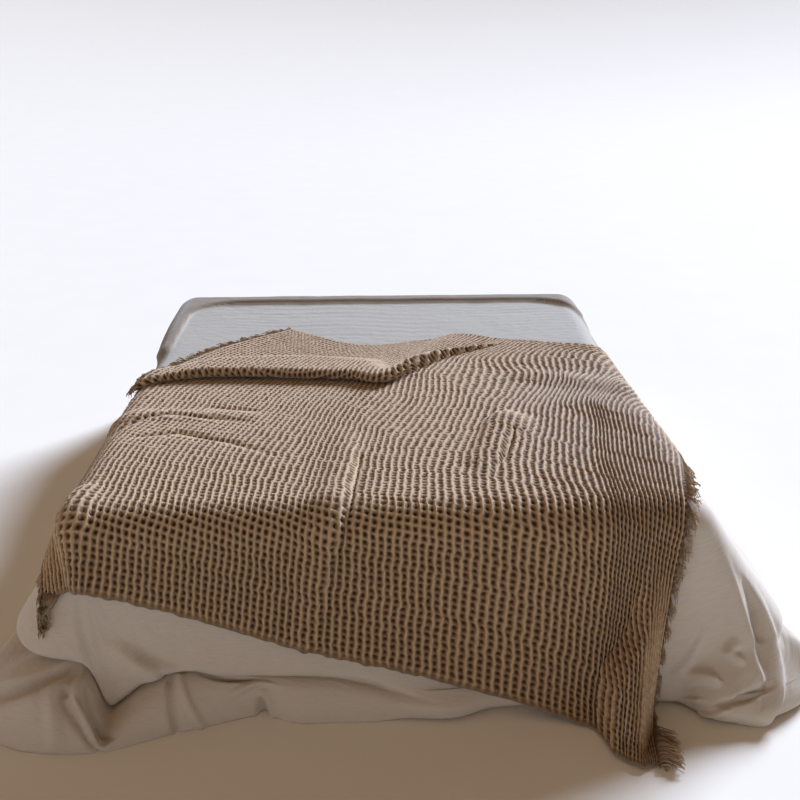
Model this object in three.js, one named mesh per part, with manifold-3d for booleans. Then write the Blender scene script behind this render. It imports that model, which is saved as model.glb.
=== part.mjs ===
// A waffle-weave throw with two fringed ends, lying askew over the foot of a low dressed bed.
// Millimetres. X runs across the bed, to the right seen from the foot, Y runs to the head, Z is up,
// and the origin is on the floor under the middle of the mattress.

import * as THREE from 'three';
import Module from 'manifold-3d';
import { mergeVertices } from 'three/addons/utils/BufferGeometryUtils.js';

const { clamp, degToRad, lerp, smoothstep } = THREE.MathUtils;

// The dressed bed
const TOP = 500;                   // height of the duvet's flat top
const EDGE = 85;                   // rounding of the top's edges
const HALF = 748;                  // half the flat top's width
const SWELL = 28;                  // what the head adds to that half
const SWELL_RUN = [1150, 1750];    // stretch along the bed over which it is added
const FOOT = -960;                 // Y where the rounding of the foot starts
const HEAD = 1030;                 // Y of the head end
const FOOT_FLARE = degToRad(15);   // how far the hanging foot and sides stand out from upright
const LEFT_FLARE = degToRad(24);
const RIGHT_FLARE = degToRad(34);
const MATTRESS = { wide: 1520, long: 2030, low: 200, high: 462, corner: 90, round: 35 };
const BASE = { wide: 1440, long: 1950, high: 198, corner: 60, round: 8 };

// The room under the duvet: how far its walls stand out past the flat top at the sides and the foot, the
// share of the duvet's flare that they take, and the levels of its rounded upper edge
const ROOM = { side: 17, foot: 46, flare: 0.5, past: 50 };
const ROOM_EDGE = [
  { height: 467, inset: 30 },
  { height: 458, inset: 9 },
  { height: 437, inset: 0 },
];

// The duvet's hem round the bed. place is the distance round from the middle of the foot, right positive,
// spill is how far the hem spreads past the plain slope, rise is the height where the spill starts,
// and tuck is the depth of the hollow above it.
const HEM = [
  { place: -3060, spill: 20, rise: 150, tuck: 0 },
  { place: -1700, spill: 50, rise: 160, tuck: 0 },
  { place: -1064, spill: 130, rise: 190, tuck: 20 },
  { place: -870, spill: 135, rise: 200, tuck: 30 },
  { place: -690, spill: 128, rise: 190, tuck: 35 },
  { place: -600, spill: 85, rise: 170, tuck: 30 },
  { place: -480, spill: 45, rise: 150, tuck: 30 },
  { place: -340, spill: 4, rise: 140, tuck: 20 },
  { place: -240, spill: 38, rise: 130, tuck: 22 },
  { place: 0, spill: 38, rise: 100, tuck: 12 },
  { place: 150, spill: 38, rise: 80, tuck: 0 },
  { place: 260, spill: 0, rise: 70, tuck: 0 },
  { place: 715, spill: 0, rise: 90, tuck: 0 },
  { place: 785, spill: 72, rise: 140, tuck: 10 },
  { place: 840, spill: 84, rise: 160, tuck: 20 },
  { place: 950, spill: 45, rise: 170, tuck: 20 },
  { place: 1064, spill: 30, rise: 150, tuck: 0 },
  { place: 1700, spill: 40, rise: 150, tuck: 0 },
  { place: 3060, spill: 20, rise: 150, tuck: 0 },
];
const CORNER_TURN = 200;       // hem length that a radian of corner counts for
const SPILL_FULL = 40;         // height below which the spill is whole
const TUCK_REACH = 70;         // half the height of the hollow above the spill
const HEM_ROLL = 45;           // round of the hem at the floor
const DUVET_STEPS = { side: 10, corner: 8, foot: 26 };
const ARC_LEVELS = [0, 0.2, 0.4, 0.6, 0.8, 1];
const DROP_LEVELS = [0.8, 0.62, 0.47, 0.36, 0.28, 0.21, 0.15, 0.1, 0.06, 0.03, 0.01, 0];

// The throw: wide between its fringed ends, long between its hems
const WIDE = 1760;
const LONG = 2000;
const THICK = 6;               // of the waffle cloth
const REST = 13;               // from the duvet to the middle of the cloth
const CLOTH_FLOOR = -5;        // level the resting cloth is measured from where it meets the floor
const FLOOR_ROUND = 100;       // inside round of the cloth where it meets the floor

// Where the throw lies on the unrolled bed. Each course is a line across the throw, at a share of its
// way from the foot hem to the head hem; its places belong to the ribs at these shares of the width.
const RIBS = [0, 0.22, 0.44, 0.62, 0.78, 0.88, 1];
const COURSES = [
  {
    share: 0,
    across: [-965, -575, -225, 85, 370, 510, 610],
    along: [-178, -272, -382, -460, -555, -630, -735],
  },
  {
    share: 0.2,
    across: [-905, -540, -195, 105, 400, 555, 672],
    along: [200, 55, -30, -70, -160, -250, -330],
  },
  {
    share: 0.4,
    across: [-850, -485, -155, 135, 415, 585, 760],
    along: [565, 385, 320, 315, 235, 140, 60],
  },
  {
    share: 0.6,
    across: [-745, -430, -85, 195, 465, 640, 860],
    along: [930, 720, 670, 700, 630, 530, 450],
  },
  {
    share: 0.8,
    across: [-600, -290, 45, 320, 580, 755, 960],
    along: [1240, 1015, 1035, 1080, 1020, 930, 840],
  },
  {
    share: 1,
    across: [-350, -60, 285, 580, 850, 1010, 1170],
    along: [1480, 1265, 1385, 1355, 1285, 1255, 1215],
  },
];

// The pleat across the head half. At a share of the width, fold is the length of cloth before the near
// fold, depth is how far the cloth runs back under it, and turn is how far each fold turns, in degrees.
const PLEAT = [
  { at: 0, fold: 1010, depth: 60, turn: 180 },
  { at: 0.1, fold: 1110, depth: 110, turn: 180 },
  { at: 0.22, fold: 1185, depth: 135, turn: 180 },
  { at: 0.38, fold: 1245, depth: 90, turn: 180 },
  { at: 0.46, fold: 1290, depth: 25, turn: 175 },
  { at: 0.54, fold: 1470, depth: 12, turn: 70 },
  { at: 0.61, fold: 1620, depth: 12, turn: 0 },
  { at: 1, fold: 1700, depth: 12, turn: 0 },
];
const PLEAT_ROUND = 10;        // radius of its folds
const LEAST_TURN = degToRad(1);   // turn that stands for none where the pleat has died away
const PLEAT_FALL = 150;        // stretch over which the flap comes down behind the pleat

// Soft ridges on the unrolled bed, from one place to another, with the height at both ends and the reach
// of the slope on the left and on the right
const RIDGES = [
  { from: [60, 1000], to: [320, 1420], rise: [6, 34], left: 60, right: 150 },
  { from: [245, 210], to: [330, 470], rise: [4, 24], left: 60, right: 110 },
  { from: [-120, 260], to: [-170, -330], rise: [9, 9], left: 70, right: 70 },
  { from: [-800, 60], to: [-780, -200], rise: [14, 16], left: 70, right: 60 },
  { from: [-860, 590], to: [-420, 560], rise: [8, 5], left: 60, right: 60 },
  { from: [480, 900], to: [760, 800], rise: [10, 8], left: 90, right: 90 },
];

// The near right corner swings out from the foot in one deep flute between these shares of the width,
// and the swing fades over a stretch of the courses
const FLUTE = { from: 0.86, crest: 0.905, to: 1.0, swing: degToRad(16), fades: [0.25, 0.45] };

// Grid of the cloth: steps across, then steps up to the pleat, round its two folds and on to the hem
const CLOTH_STEPS = { across: 42, run: 33, fold: 4, back: 2, turn: 5, flap: 11 };

// The fringe: locks rooted in a narrow strip beyond each end of the cloth
const FRINGE = { locks: 72, gap: 2, strip: 6, thick: 4, root: 12, waist: 8, length: 40 };
const LOCK_SWAY = { lean: 0.3, step: 0.7 };      // lean along the edge for each unit out, in waves of locks
const LOCK_VARIES = { share: 0.15, step: 1.7 };  // share by which the lengths differ, in waves of locks
const CORNER_LOCKS = { longer: 30, fades: 2 };   // the locks at the foot corners hang longer
const CORNER_LEAN = { left: 0.7, right: 0.25 };  // and lean to the foot

const FINISHES = {
  linen: { color: 0xd9d3cb, roughness: 0.9 },
  ticking: { color: 0xe4e1dc, roughness: 0.9 },
  timber: { color: 0x9a8468, roughness: 0.6 },
  waffle: { color: 0xa4917c, roughness: 0.95 },
};

const column = (table, name) => table.map((row) => row[name]);

// A smooth curve through values at rising places, running straight on past both ends
function through(places, values, x) {
  const last = places.length - 1;
  const slope = (i) => {
    const lo = Math.max(i - 1, 0);
    const hi = Math.min(i + 1, last);
    return (values[hi] - values[lo]) / (places[hi] - places[lo]);
  };
  if (x <= places[0]) return values[0] + slope(0) * (x - places[0]);
  if (x >= places[last]) return values[last] + slope(last) * (x - places[last]);
  const i = places.findIndex((place) => place > x) - 1;
  const gap = places[i + 1] - places[i];
  const f = (x - places[i]) / gap;
  const start = (1 + 2 * f) * (1 - f) ** 2 * values[i] + f * (1 - f) ** 2 * gap * slope(i);
  const end = (3 - 2 * f) * f ** 2 * values[i + 1] - (1 - f) * f ** 2 * gap * slope(i + 1);
  return start + end;
}

// Half the flat top's width at a distance along the bed from the foot's rounding
const flatHalf = (along) => HALF + SWELL * smoothstep(along, ...SWELL_RUN);

// Flare of the bed's side that a level direction points to
const flareOf = (way) => lerp(FOOT_FLARE, way.x < 0 ? LEFT_FLARE : RIGHT_FLARE, way.x ** 2);

// Profile of cloth that falls over an edge: out, height and slope after a reach past the flat top
function fall(reach, flare) {
  const turn = Math.PI / 2 - flare;
  const drop = TOP - CLOTH_FLOOR - (EDGE + FLOOR_ROUND) * (1 - Math.cos(turn));
  const line = drop / Math.sin(turn);
  const arc = clamp(reach / EDGE, 0, turn);
  const slope = clamp(reach - EDGE * turn, 0, line);
  const foot = clamp((reach - EDGE * turn - line) / FLOOR_ROUND, 0, turn);
  const floor = Math.max(reach - (EDGE + FLOOR_ROUND) * turn - line, 0);
  const rounds = EDGE * Math.sin(arc) + FLOOR_ROUND * (Math.sin(turn) - Math.sin(turn - foot));
  const roundDrops = EDGE * (1 - Math.cos(arc)) + FLOOR_ROUND * (Math.cos(turn - foot) - Math.cos(turn));
  return {
    out: rounds + slope * Math.cos(turn) + floor,
    height: TOP - roundDrops - slope * Math.sin(turn),
    angle: arc - foot,
  };
}

// The bed's surface at a place on the unrolled bed, with swing added to the flare
function skin(across, along, swing) {
  const half = flatHalf(along);
  const past = new THREE.Vector2(across - clamp(across, -half, half), Math.min(along, 0));
  const reach = past.length();
  const way = past.clone().normalize();
  const { out, height, angle } = fall(reach, flareOf(way) + swing);
  const x = clamp(across, -half, half) + way.x * out;
  const y = FOOT + Math.max(along, 0) + way.y * out;
  const normal = new THREE.Vector3(way.x * Math.sin(angle), way.y * Math.sin(angle), Math.cos(angle));
  return { point: new THREE.Vector3(x, y, height), normal };
}

// The place on the unrolled bed of a rib's share of the width and a course's share of the length
function unrolled(rib, course) {
  const shares = column(COURSES, 'share');
  const at = (name) => through(shares, column(COURSES, name).map((row) => through(RIBS, row, rib)), course);
  return new THREE.Vector2(at('across'), at('along'));
}

// The pleat's measures at a share of the width
function pleatAt(rib) {
  const places = column(PLEAT, 'at');
  const [fold, depth, turn] = ['fold', 'depth', 'turn'].map((name) =>
    through(places, column(PLEAT, name), rib));
  const angle = Math.max(degToRad(turn), LEAST_TURN);
  const bend = Math.PI * PLEAT_ROUND;
  return { fold, depth, angle, bend, radius: bend / angle, start: fold + depth };
}

// How far along the bed, and how high over it, a length of cloth lies after it has run through the pleat
function throughPleat(pleat, length) {
  const { depth, angle, bend, radius, start } = pleat;
  const first = clamp((length - start) / radius, 0, angle);
  const back = clamp(length - start - bend, 0, depth);
  const second = angle - clamp((length - start - bend - depth) / radius, 0, angle);
  const on = Math.max(length - start - 2 * bend - depth, 0);
  const sines = Math.sin(first) + Math.sin(angle) - Math.sin(second);
  const cosines = 1 - Math.cos(first) + Math.cos(second) - Math.cos(angle);
  const along = Math.min(length, start) + radius * sines + back * Math.cos(angle) + on;
  const rise = radius * cosines + back * Math.sin(angle);
  const down = on > 0 ? smoothstep(along, start, start + PLEAT_FALL) : 0;
  return { along, rise: rise * (1 - down) };
}

// Height of the soft ridges at a place on the unrolled bed
function ridgeRise(place) {
  let rise = 0;
  for (const ridge of RIDGES) {
    const from = new THREE.Vector2(...ridge.from);
    const run = new THREE.Vector2(...ridge.to).sub(from);
    const offset = place.clone().sub(from);
    const share = clamp(offset.dot(run) / run.lengthSq(), 0, 1);
    const side = run.cross(offset) > 0 ? ridge.left : ridge.right;
    const away = offset.addScaledVector(run, -share).length() / side;
    rise += lerp(...ridge.rise, share) * Math.max(1 - away ** 2, 0) ** 2;
  }
  return rise;
}

// Swing of the corner flute at shares of the width and the length
function fluteSwing(rib, course) {
  const up = smoothstep(rib, FLUTE.from, FLUTE.crest);
  const down = 1 - smoothstep(rib, FLUTE.crest, FLUTE.to);
  return FLUTE.swing * up * down * (1 - smoothstep(course, ...FLUTE.fades));
}

// Middle of the cloth at a distance across from its left end and a length along from its foot hem
function drape(across, length) {
  const rib = across / WIDE;
  const pleat = pleatAt(clamp(rib, 0, 1));
  const { along, rise } = throughPleat(pleat, length);
  const course = along / throughPleat(pleat, LONG).along;
  const place = unrolled(rib, course);
  const { point, normal } = skin(place.x, place.y, fluteSwing(rib, course));
  return point.addScaledVector(normal, REST + rise + ridgeRise(place));
}

// The cloth's normal, from its middle on either side of a point
function drapeNormal(across, length) {
  const step = 1;
  const over = drape(across + step, length).sub(drape(across - step, length));
  const onward = drape(across, length + step).sub(drape(across, length - step));
  return over.cross(onward).normalize();
}

// A point at a height over the middle of the cloth
const onCloth = (across, length, height) =>
  drape(across, length).addScaledVector(drapeNormal(across, length), height);

// Geometry from points and triangles, turned inside out if its faces point in
function solidFrom(points, triangles) {
  const volume = triangles.reduce((sum, [a, b, c]) =>
    sum + points[a].dot(points[b].clone().cross(points[c])), 0);
  const facing = volume > 0 ? triangles : triangles.map(([a, b, c]) => [a, c, b]);
  const geometry = new THREE.BufferGeometry().setFromPoints(points);
  geometry.setIndex(facing.flat());
  geometry.computeVertexNormals();
  return geometry;
}

// Two triangles for the four corners of a face
const face = (a, b, c, d) => [[a, b, c], [a, c, d]];

// Solid between closed rings of points, each ring with as many points, capped by fans at both ends
function ringSolid(rings) {
  const count = rings[0].length;
  const points = rings.flat();
  const triangles = [];
  for (let level = 0; level < rings.length - 1; level += 1) {
    for (let i = 0; i < count; i += 1) {
      const next = (i + 1) % count;
      const upper = level * count;
      const lower = upper + count;
      triangles.push(...face(upper + i, lower + i, lower + next, upper + next));
    }
  }
  const middle = (ring) =>
    ring.reduce((sum, point) => sum.add(point), new THREE.Vector3()).divideScalar(count);
  const bottom = count * (rings.length - 1);
  points.push(middle(rings[0]), middle(rings.at(-1)));
  for (let i = 0; i < count; i += 1) {
    const next = (i + 1) % count;
    triangles.push([points.length - 2, i, next], [points.length - 1, bottom + next, bottom + i]);
  }
  return solidFrom(points, triangles);
}

// Places round the flat top, from its left end at a Y by the head, round the foot, to its right end
function hemStations(head) {
  const { side, corner, foot } = DUVET_STEPS;
  const quarter = Math.PI / 2;
  const stations = [];
  for (const sign of [-1, 1]) {
    const half = [];
    for (let i = 0; i < foot / 2; i += 1) {
      const x = (HALF * i) / (foot / 2);
      half.push({ rim: [x, FOOT], angle: 0, place: x });
    }
    for (let i = 0; i < corner; i += 1) {
      const angle = (quarter * i) / corner;
      half.push({ rim: [HALF, FOOT], angle, place: HALF + angle * CORNER_TURN });
    }
    for (let i = 0; i <= side; i += 1) {
      const along = ((head - FOOT) * i) / side;
      const place = HALF + quarter * CORNER_TURN + along;
      half.push({ rim: [flatHalf(along), FOOT + along], angle: quarter, place });
    }
    const turned = half.map(({ rim, angle, place }) => ({
      rim: new THREE.Vector2(sign * rim[0], rim[1]),
      way: new THREE.Vector2(sign * Math.sin(angle), -Math.cos(angle)),
      place: sign * place,
    }));
    stations.push(...(sign < 0 ? turned.slice(1).reverse() : turned));
  }
  return stations;
}

// How far the duvet stands out from its flat top at a height below its rounded edge
function hangOut(station, height, flare, edgeOut, edgeHeight) {
  const places = column(HEM, 'place');
  const [spill, rise, tuck] = ['spill', 'rise', 'tuck'].map((name) =>
    through(places, column(HEM, name), station.place));
  const spread = spill * (1 - smoothstep(height, SPILL_FULL, rise));
  const hollow = tuck * Math.max(1 - ((height - rise) / TUCK_REACH) ** 2, 0) ** 2;
  const under = Math.max(HEM_ROLL - height, 0);
  const roll = HEM_ROLL - Math.sqrt(HEM_ROLL ** 2 - under ** 2);
  return edgeOut + (edgeHeight - height) * Math.tan(flare) + spread - hollow - roll;
}

// Outer form of the duvet: its flat top, rounded edges, flared sides and spread hem
function duvetForm() {
  const stations = hemStations(HEAD);
  const ringAt = (profile) => stations.map((station) => {
    const flare = flareOf(station.way);
    const turn = Math.PI / 2 - flare;
    const { out, height } = profile(station, flare, turn);
    const plan = station.rim.clone().addScaledVector(station.way, out);
    return new THREE.Vector3(plan.x, plan.y, height);
  });
  const rounded = ARC_LEVELS.map((share) => ringAt((station, flare, turn) => ({
    out: EDGE * Math.sin(share * turn),
    height: TOP - EDGE * (1 - Math.cos(share * turn)),
  })));
  const hanging = DROP_LEVELS.map((share) => ringAt((station, flare, turn) => {
    const edgeHeight = TOP - EDGE * (1 - Math.cos(turn));
    const height = share * edgeHeight;
    return { out: hangOut(station, height, flare, EDGE * Math.sin(turn), edgeHeight), height };
  }));
  return ringSolid([...rounded, ...hanging]);
}

// Rectangle with round corners
function roundedOutline(wide, long, corner) {
  const outline = new THREE.Shape();
  const x = wide / 2 - corner;
  const y = long / 2 - corner;
  outline.absarc(x, y, corner, 0, Math.PI / 2);
  outline.absarc(-x, y, corner, Math.PI / 2, Math.PI);
  outline.absarc(-x, -y, corner, Math.PI, 1.5 * Math.PI);
  outline.absarc(x, -y, corner, 1.5 * Math.PI, 2 * Math.PI);
  return outline;
}

// Upright slab with round corners and rounded top and bottom edges, its head end level with the duvet's
function slab({ wide, long, low = 0, high, corner, round }) {
  const outline = roundedOutline(wide - 2 * round, long - 2 * round, corner - round);
  const geometry = new THREE.ExtrudeGeometry(outline, {
    depth: high - low - 2 * round,
    curveSegments: 4,
    bevelSize: round,
    bevelThickness: round,
    bevelSegments: 2,
  });
  return geometry.translate(0, HEAD - long / 2, low + round);
}

// Room under the duvet for the mattress and its base, open at the floor and at the head
function roomForm() {
  const stations = hemStations(HEAD + ROOM.past);
  const edge = ROOM_EDGE.at(-1).height;
  const ringAt = ({ height, inset }) => stations.map(({ rim, way }) => {
    const spread = Math.max(edge - height, 0) * Math.tan(flareOf(way) * ROOM.flare);
    const out = lerp(ROOM.foot, ROOM.side, way.x ** 2) - inset + spread;
    const plan = rim.clone().addScaledVector(way, out);
    return new THREE.Vector3(plan.x, plan.y, height);
  });
  return ringSolid([...ROOM_EDGE, { height: -ROOM.past, inset: 0 }].map(ringAt));
}

// Cuts one closed geometry out of another
function cut(wasm, body, tool) {
  const [solid, cutter] = [body, tool].map((geometry) => {
    const bare = geometry.clone();
    bare.deleteAttribute('normal');
    bare.deleteAttribute('uv');
    const merged = mergeVertices(bare);
    return new wasm.Manifold(new wasm.Mesh({
      numProp: 3,
      vertProperties: new Float32Array(merged.attributes.position.array),
      triVerts: new Uint32Array(merged.index.array),
    }));
  });
  const mesh = solid.subtract(cutter).getMesh();
  const geometry = new THREE.BufferGeometry();
  geometry.setAttribute('position', new THREE.BufferAttribute(mesh.vertProperties, mesh.numProp));
  geometry.setIndex(new THREE.BufferAttribute(mesh.triVerts, 1));
  geometry.computeVertexNormals();
  return geometry;
}

// Lengths along the cloth at which its rows lie, close together round the pleat's two folds
function rowLengths(rib) {
  const { start, bend, depth } = pleatAt(rib);
  const stretches = [
    { steps: CLOTH_STEPS.run, length: start },
    { steps: CLOTH_STEPS.fold, length: bend },
    { steps: CLOTH_STEPS.back, length: depth },
    { steps: CLOTH_STEPS.turn, length: bend },
    { steps: CLOTH_STEPS.flap, length: LONG - start - 2 * bend - depth },
  ];
  const rows = [0];
  for (const { steps, length } of stretches) {
    const from = rows.at(-1);
    for (let i = 1; i <= steps; i += 1) rows.push(from + (length * i) / steps);
  }
  return rows;
}

// The throw: one sheet of cloth with its upper face, its underside and the edge between them
function throwForm() {
  const columns = CLOTH_STEPS.across + 1;
  const upper = [];
  const under = [];
  for (let i = 0; i < columns; i += 1) {
    const across = (WIDE * i) / CLOTH_STEPS.across;
    for (const length of rowLengths(across / WIDE)) {
      upper.push(onCloth(across, length, THICK / 2));
      under.push(onCloth(across, length, -THICK / 2));
    }
  }
  const rows = upper.length / columns;
  const triangles = [];
  const low = upper.length;
  for (let i = 0; i < columns - 1; i += 1) {
    for (let j = 0; j < rows - 1; j += 1) {
      const [a, b, c, d] = [i * rows + j, (i + 1) * rows + j, (i + 1) * rows + j + 1, i * rows + j + 1];
      triangles.push(...face(a, b, c, d), ...face(low + a, low + d, low + c, low + b));
    }
  }
  const edge = [];
  for (let i = 0; i < columns - 1; i += 1) edge.push(i * rows);
  for (let j = 0; j < rows - 1; j += 1) edge.push((columns - 1) * rows + j);
  for (let i = columns - 1; i > 0; i -= 1) edge.push(i * rows + rows - 1);
  for (let j = rows - 1; j > 0; j -= 1) edge.push(j);
  edge.forEach((a, i) => {
    const b = edge[(i + 1) % edge.length];
    triangles.push(...face(a, low + a, low + b, b));
  });
  return solidFrom([...upper, ...under], triangles);
}

// One end's fringe: a strip beside the cloth's edge, with a tapered lock growing out of it at each step.
// The locks at the foot corner lean to the foot.
function fringeForm(edge, side, cornerLean) {
  const pitch = LONG / FRINGE.locks;
  const half = FRINGE.thick / 2;
  const outer = FRINGE.gap + FRINGE.strip;
  const points = [];
  const triangles = [];
  const put = (out, length, height) => points.push(onCloth(edge + side * out, length, height)) - 1;
  const ring = (length) => [
    put(FRINGE.gap, length, half),
    put(FRINGE.gap, length, -half),
    put(outer, length, -half),
    put(outer, length, half),
  ];
  let last = null;
  for (let i = 0; i < FRINGE.locks; i += 1) {
    const middle = (i + 0.5) * pitch;
    const corner = Math.exp(-i / CORNER_LOCKS.fades);
    const varied = FRINGE.length * (1 + LOCK_VARIES.share * Math.sin(LOCK_VARIES.step * i));
    const long = varied + CORNER_LOCKS.longer * corner;
    const lean = LOCK_SWAY.lean * Math.sin(LOCK_SWAY.step * i) * (1 - corner) - cornerLean * corner;
    const start = ring(middle - FRINGE.root / 2);
    const end = ring(middle + FRINGE.root / 2);
    const waist = middle + (lean * long) / 2;
    const waistOut = outer + long / 2;
    const belt = [
      put(waistOut, waist - FRINGE.waist / 2, -half),
      put(waistOut, waist - FRINGE.waist / 2, half),
      put(waistOut, waist + FRINGE.waist / 2, half),
      put(waistOut, waist + FRINGE.waist / 2, -half),
    ];
    const tip = put(outer + long, middle + lean * long, 0);
    const root = [start[2], start[3], end[3], end[2]];
    for (let k = 0; k < 4; k += 1) {
      const next = (k + 1) % 4;
      if (k !== 2) triangles.push(...face(start[k], start[next], end[next], end[k]));
      if (last) triangles.push(...face(last[k], last[next], start[next], start[k]));
      triangles.push(...face(root[k], root[next], belt[next], belt[k]), [belt[k], belt[next], tip]);
    }
    if (!last) triangles.push(...face(start[3], start[2], start[1], start[0]));
    last = end;
  }
  triangles.push(...face(...last));
  return solidFrom(points, triangles);
}

const wasm = await Module();
wasm.setup();

const bed = new THREE.Group();

function add(name, geometry, finish) {
  const mesh = new THREE.Mesh(geometry, new THREE.MeshStandardMaterial({ ...finish, metalness: 0 }));
  mesh.name = name;
  bed.add(mesh);
}

add('base', slab(BASE), FINISHES.timber);
add('mattress', slab(MATTRESS), FINISHES.ticking);
add('duvet', cut(wasm, duvetForm(), roomForm()), FINISHES.linen);
add('throw', throwForm(), FINISHES.waffle);
add('fringe_left', fringeForm(0, -1, CORNER_LEAN.left), FINISHES.waffle);
add('fringe_right', fringeForm(WIDE, 1, CORNER_LEAN.right), FINISHES.waffle);

export default bed;
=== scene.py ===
"""Looks of a waffle-weave throw that lies askew over the foot of a low dressed bed.

Meshes are in metres, in the part's own frame: X across the bed, Y to the head, Z up, origin on the floor.
Sizes in the classes are millimetres and are scaled as a mesh is made. A place on the unrolled bed is
(across, along): the sides and the foot are laid out flat with the top, across is measured from the bed's
middle and along from the line where the rounding of the foot starts.
"""

import logging
import math
from dataclasses import dataclass
from enum import Enum

import bmesh
import bpy
import numpy as np
from mathutils import Matrix, Vector, noise


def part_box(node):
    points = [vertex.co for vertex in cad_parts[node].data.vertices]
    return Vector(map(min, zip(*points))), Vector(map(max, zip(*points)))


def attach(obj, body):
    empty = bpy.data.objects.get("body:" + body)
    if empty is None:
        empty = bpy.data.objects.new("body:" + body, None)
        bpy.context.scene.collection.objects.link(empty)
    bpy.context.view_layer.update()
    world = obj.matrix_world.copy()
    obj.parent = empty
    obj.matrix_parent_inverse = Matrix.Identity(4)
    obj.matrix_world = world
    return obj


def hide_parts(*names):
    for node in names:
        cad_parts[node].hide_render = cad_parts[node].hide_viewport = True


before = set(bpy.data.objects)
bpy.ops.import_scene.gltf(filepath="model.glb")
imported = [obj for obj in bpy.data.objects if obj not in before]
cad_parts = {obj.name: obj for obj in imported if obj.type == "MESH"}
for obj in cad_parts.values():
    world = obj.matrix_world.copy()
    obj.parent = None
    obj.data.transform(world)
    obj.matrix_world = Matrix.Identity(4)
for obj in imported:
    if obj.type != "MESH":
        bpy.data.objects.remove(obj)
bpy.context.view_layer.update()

LOG = logging.getLogger("dressed_bed")
BODY = "root"
MM = 0.001
Array = np.ndarray
# Least length that anything is divided by
TINY = 1e-9
# The throw laid flat, between its fringed ends and between its hems, and its cells across and along
CLOTH = (1760.0, 2000.0)
CELLS = (94, 115)


def smoothstep(x: Array, low: float, high: float) -> Array:
    """Rises smoothly from 0 at low to 1 at high."""
    share = np.clip((x - low) / (high - low), 0.0, 1.0)
    return share * share * (3.0 - 2.0 * share)


def through(places: list[float], values: Array, x: Array) -> Array:
    """Smooth curve through values at rising places, running straight on past both ends.

    Args:
        places: Rising places that the values belong to.
        values: One value for each place, or a row of values as long as x for each place.
        x: Where the curve is read.

    Returns:
        The curve's value at each x.
    """
    knots = np.asarray(places, float)
    heights = np.asarray(values, float)
    if heights.ndim == 1:
        heights = np.repeat(heights[:, None], x.size, axis=1)
    before = np.maximum(np.arange(knots.size) - 1, 0)
    after = np.minimum(np.arange(knots.size) + 1, knots.size - 1)
    slopes = (heights[after] - heights[before]) / (knots[after] - knots[before])[:, None]
    i = np.clip(np.searchsorted(knots, x, side="right") - 1, 0, knots.size - 2)
    each = np.arange(x.size)
    gap = knots[i + 1] - knots[i]
    share = (x - knots[i]) / gap
    f = np.clip(share, 0.0, 1.0)
    start = (1 + 2 * f) * (1 - f) ** 2 * heights[i, each] + f * (1 - f) ** 2 * gap * slopes[i, each]
    end = (3 - 2 * f) * f**2 * heights[i + 1, each] - (1 - f) * f**2 * gap * slopes[i + 1, each]
    past = (share - f) * gap * np.where(share < 0, slopes[i, each], slopes[i + 1, each])
    return start + end + past


@dataclass(frozen=True)
class Fold:
    """A soft ridge or trough along a path in the plane that it is placed on.

    Attributes:
        path: Points of the fold's line.
        rise: Height at each of the points, below nought for a trough.
        left: Reach of its slope on the left of the path.
        right: Reach of its slope on the right.
    """

    path: tuple[tuple[float, float], ...]
    rise: tuple[float, ...]
    left: float
    right: float

    def height(self, x: Array, y: Array) -> Array:
        """Height of the fold at each place.

        Args:
            x: First coordinate of each place.
            y: Second coordinate of each place.

        Returns:
            The heights.
        """
        nearest = np.full(x.shape, np.inf)
        height = np.zeros(x.shape)
        points = [Vector(point) for point in self.path]
        for a, b, low, high in zip(points, points[1:], self.rise, self.rise[1:]):
            run = b - a
            share = np.clip(((x - a.x) * run.x + (y - a.y) * run.y) / run.length_squared, 0.0, 1.0)
            off_x = x - a.x - share * run.x
            off_y = y - a.y - share * run.y
            away = np.hypot(off_x, off_y)
            reach = np.where(run.x * off_y - run.y * off_x > 0, self.left, self.right)
            shape = (low + (high - low) * share) * np.maximum(1 - (away / reach) ** 2, 0.0) ** 2
            height = np.where(away < nearest, shape, height)
            nearest = np.minimum(away, nearest)
        return height


def folded(folds: tuple[Fold, ...], x: Array, y: Array) -> Array:
    """Sum of the heights of several folds at each place."""
    return sum((fold.height(x, y) for fold in folds), np.zeros(x.shape))


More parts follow.
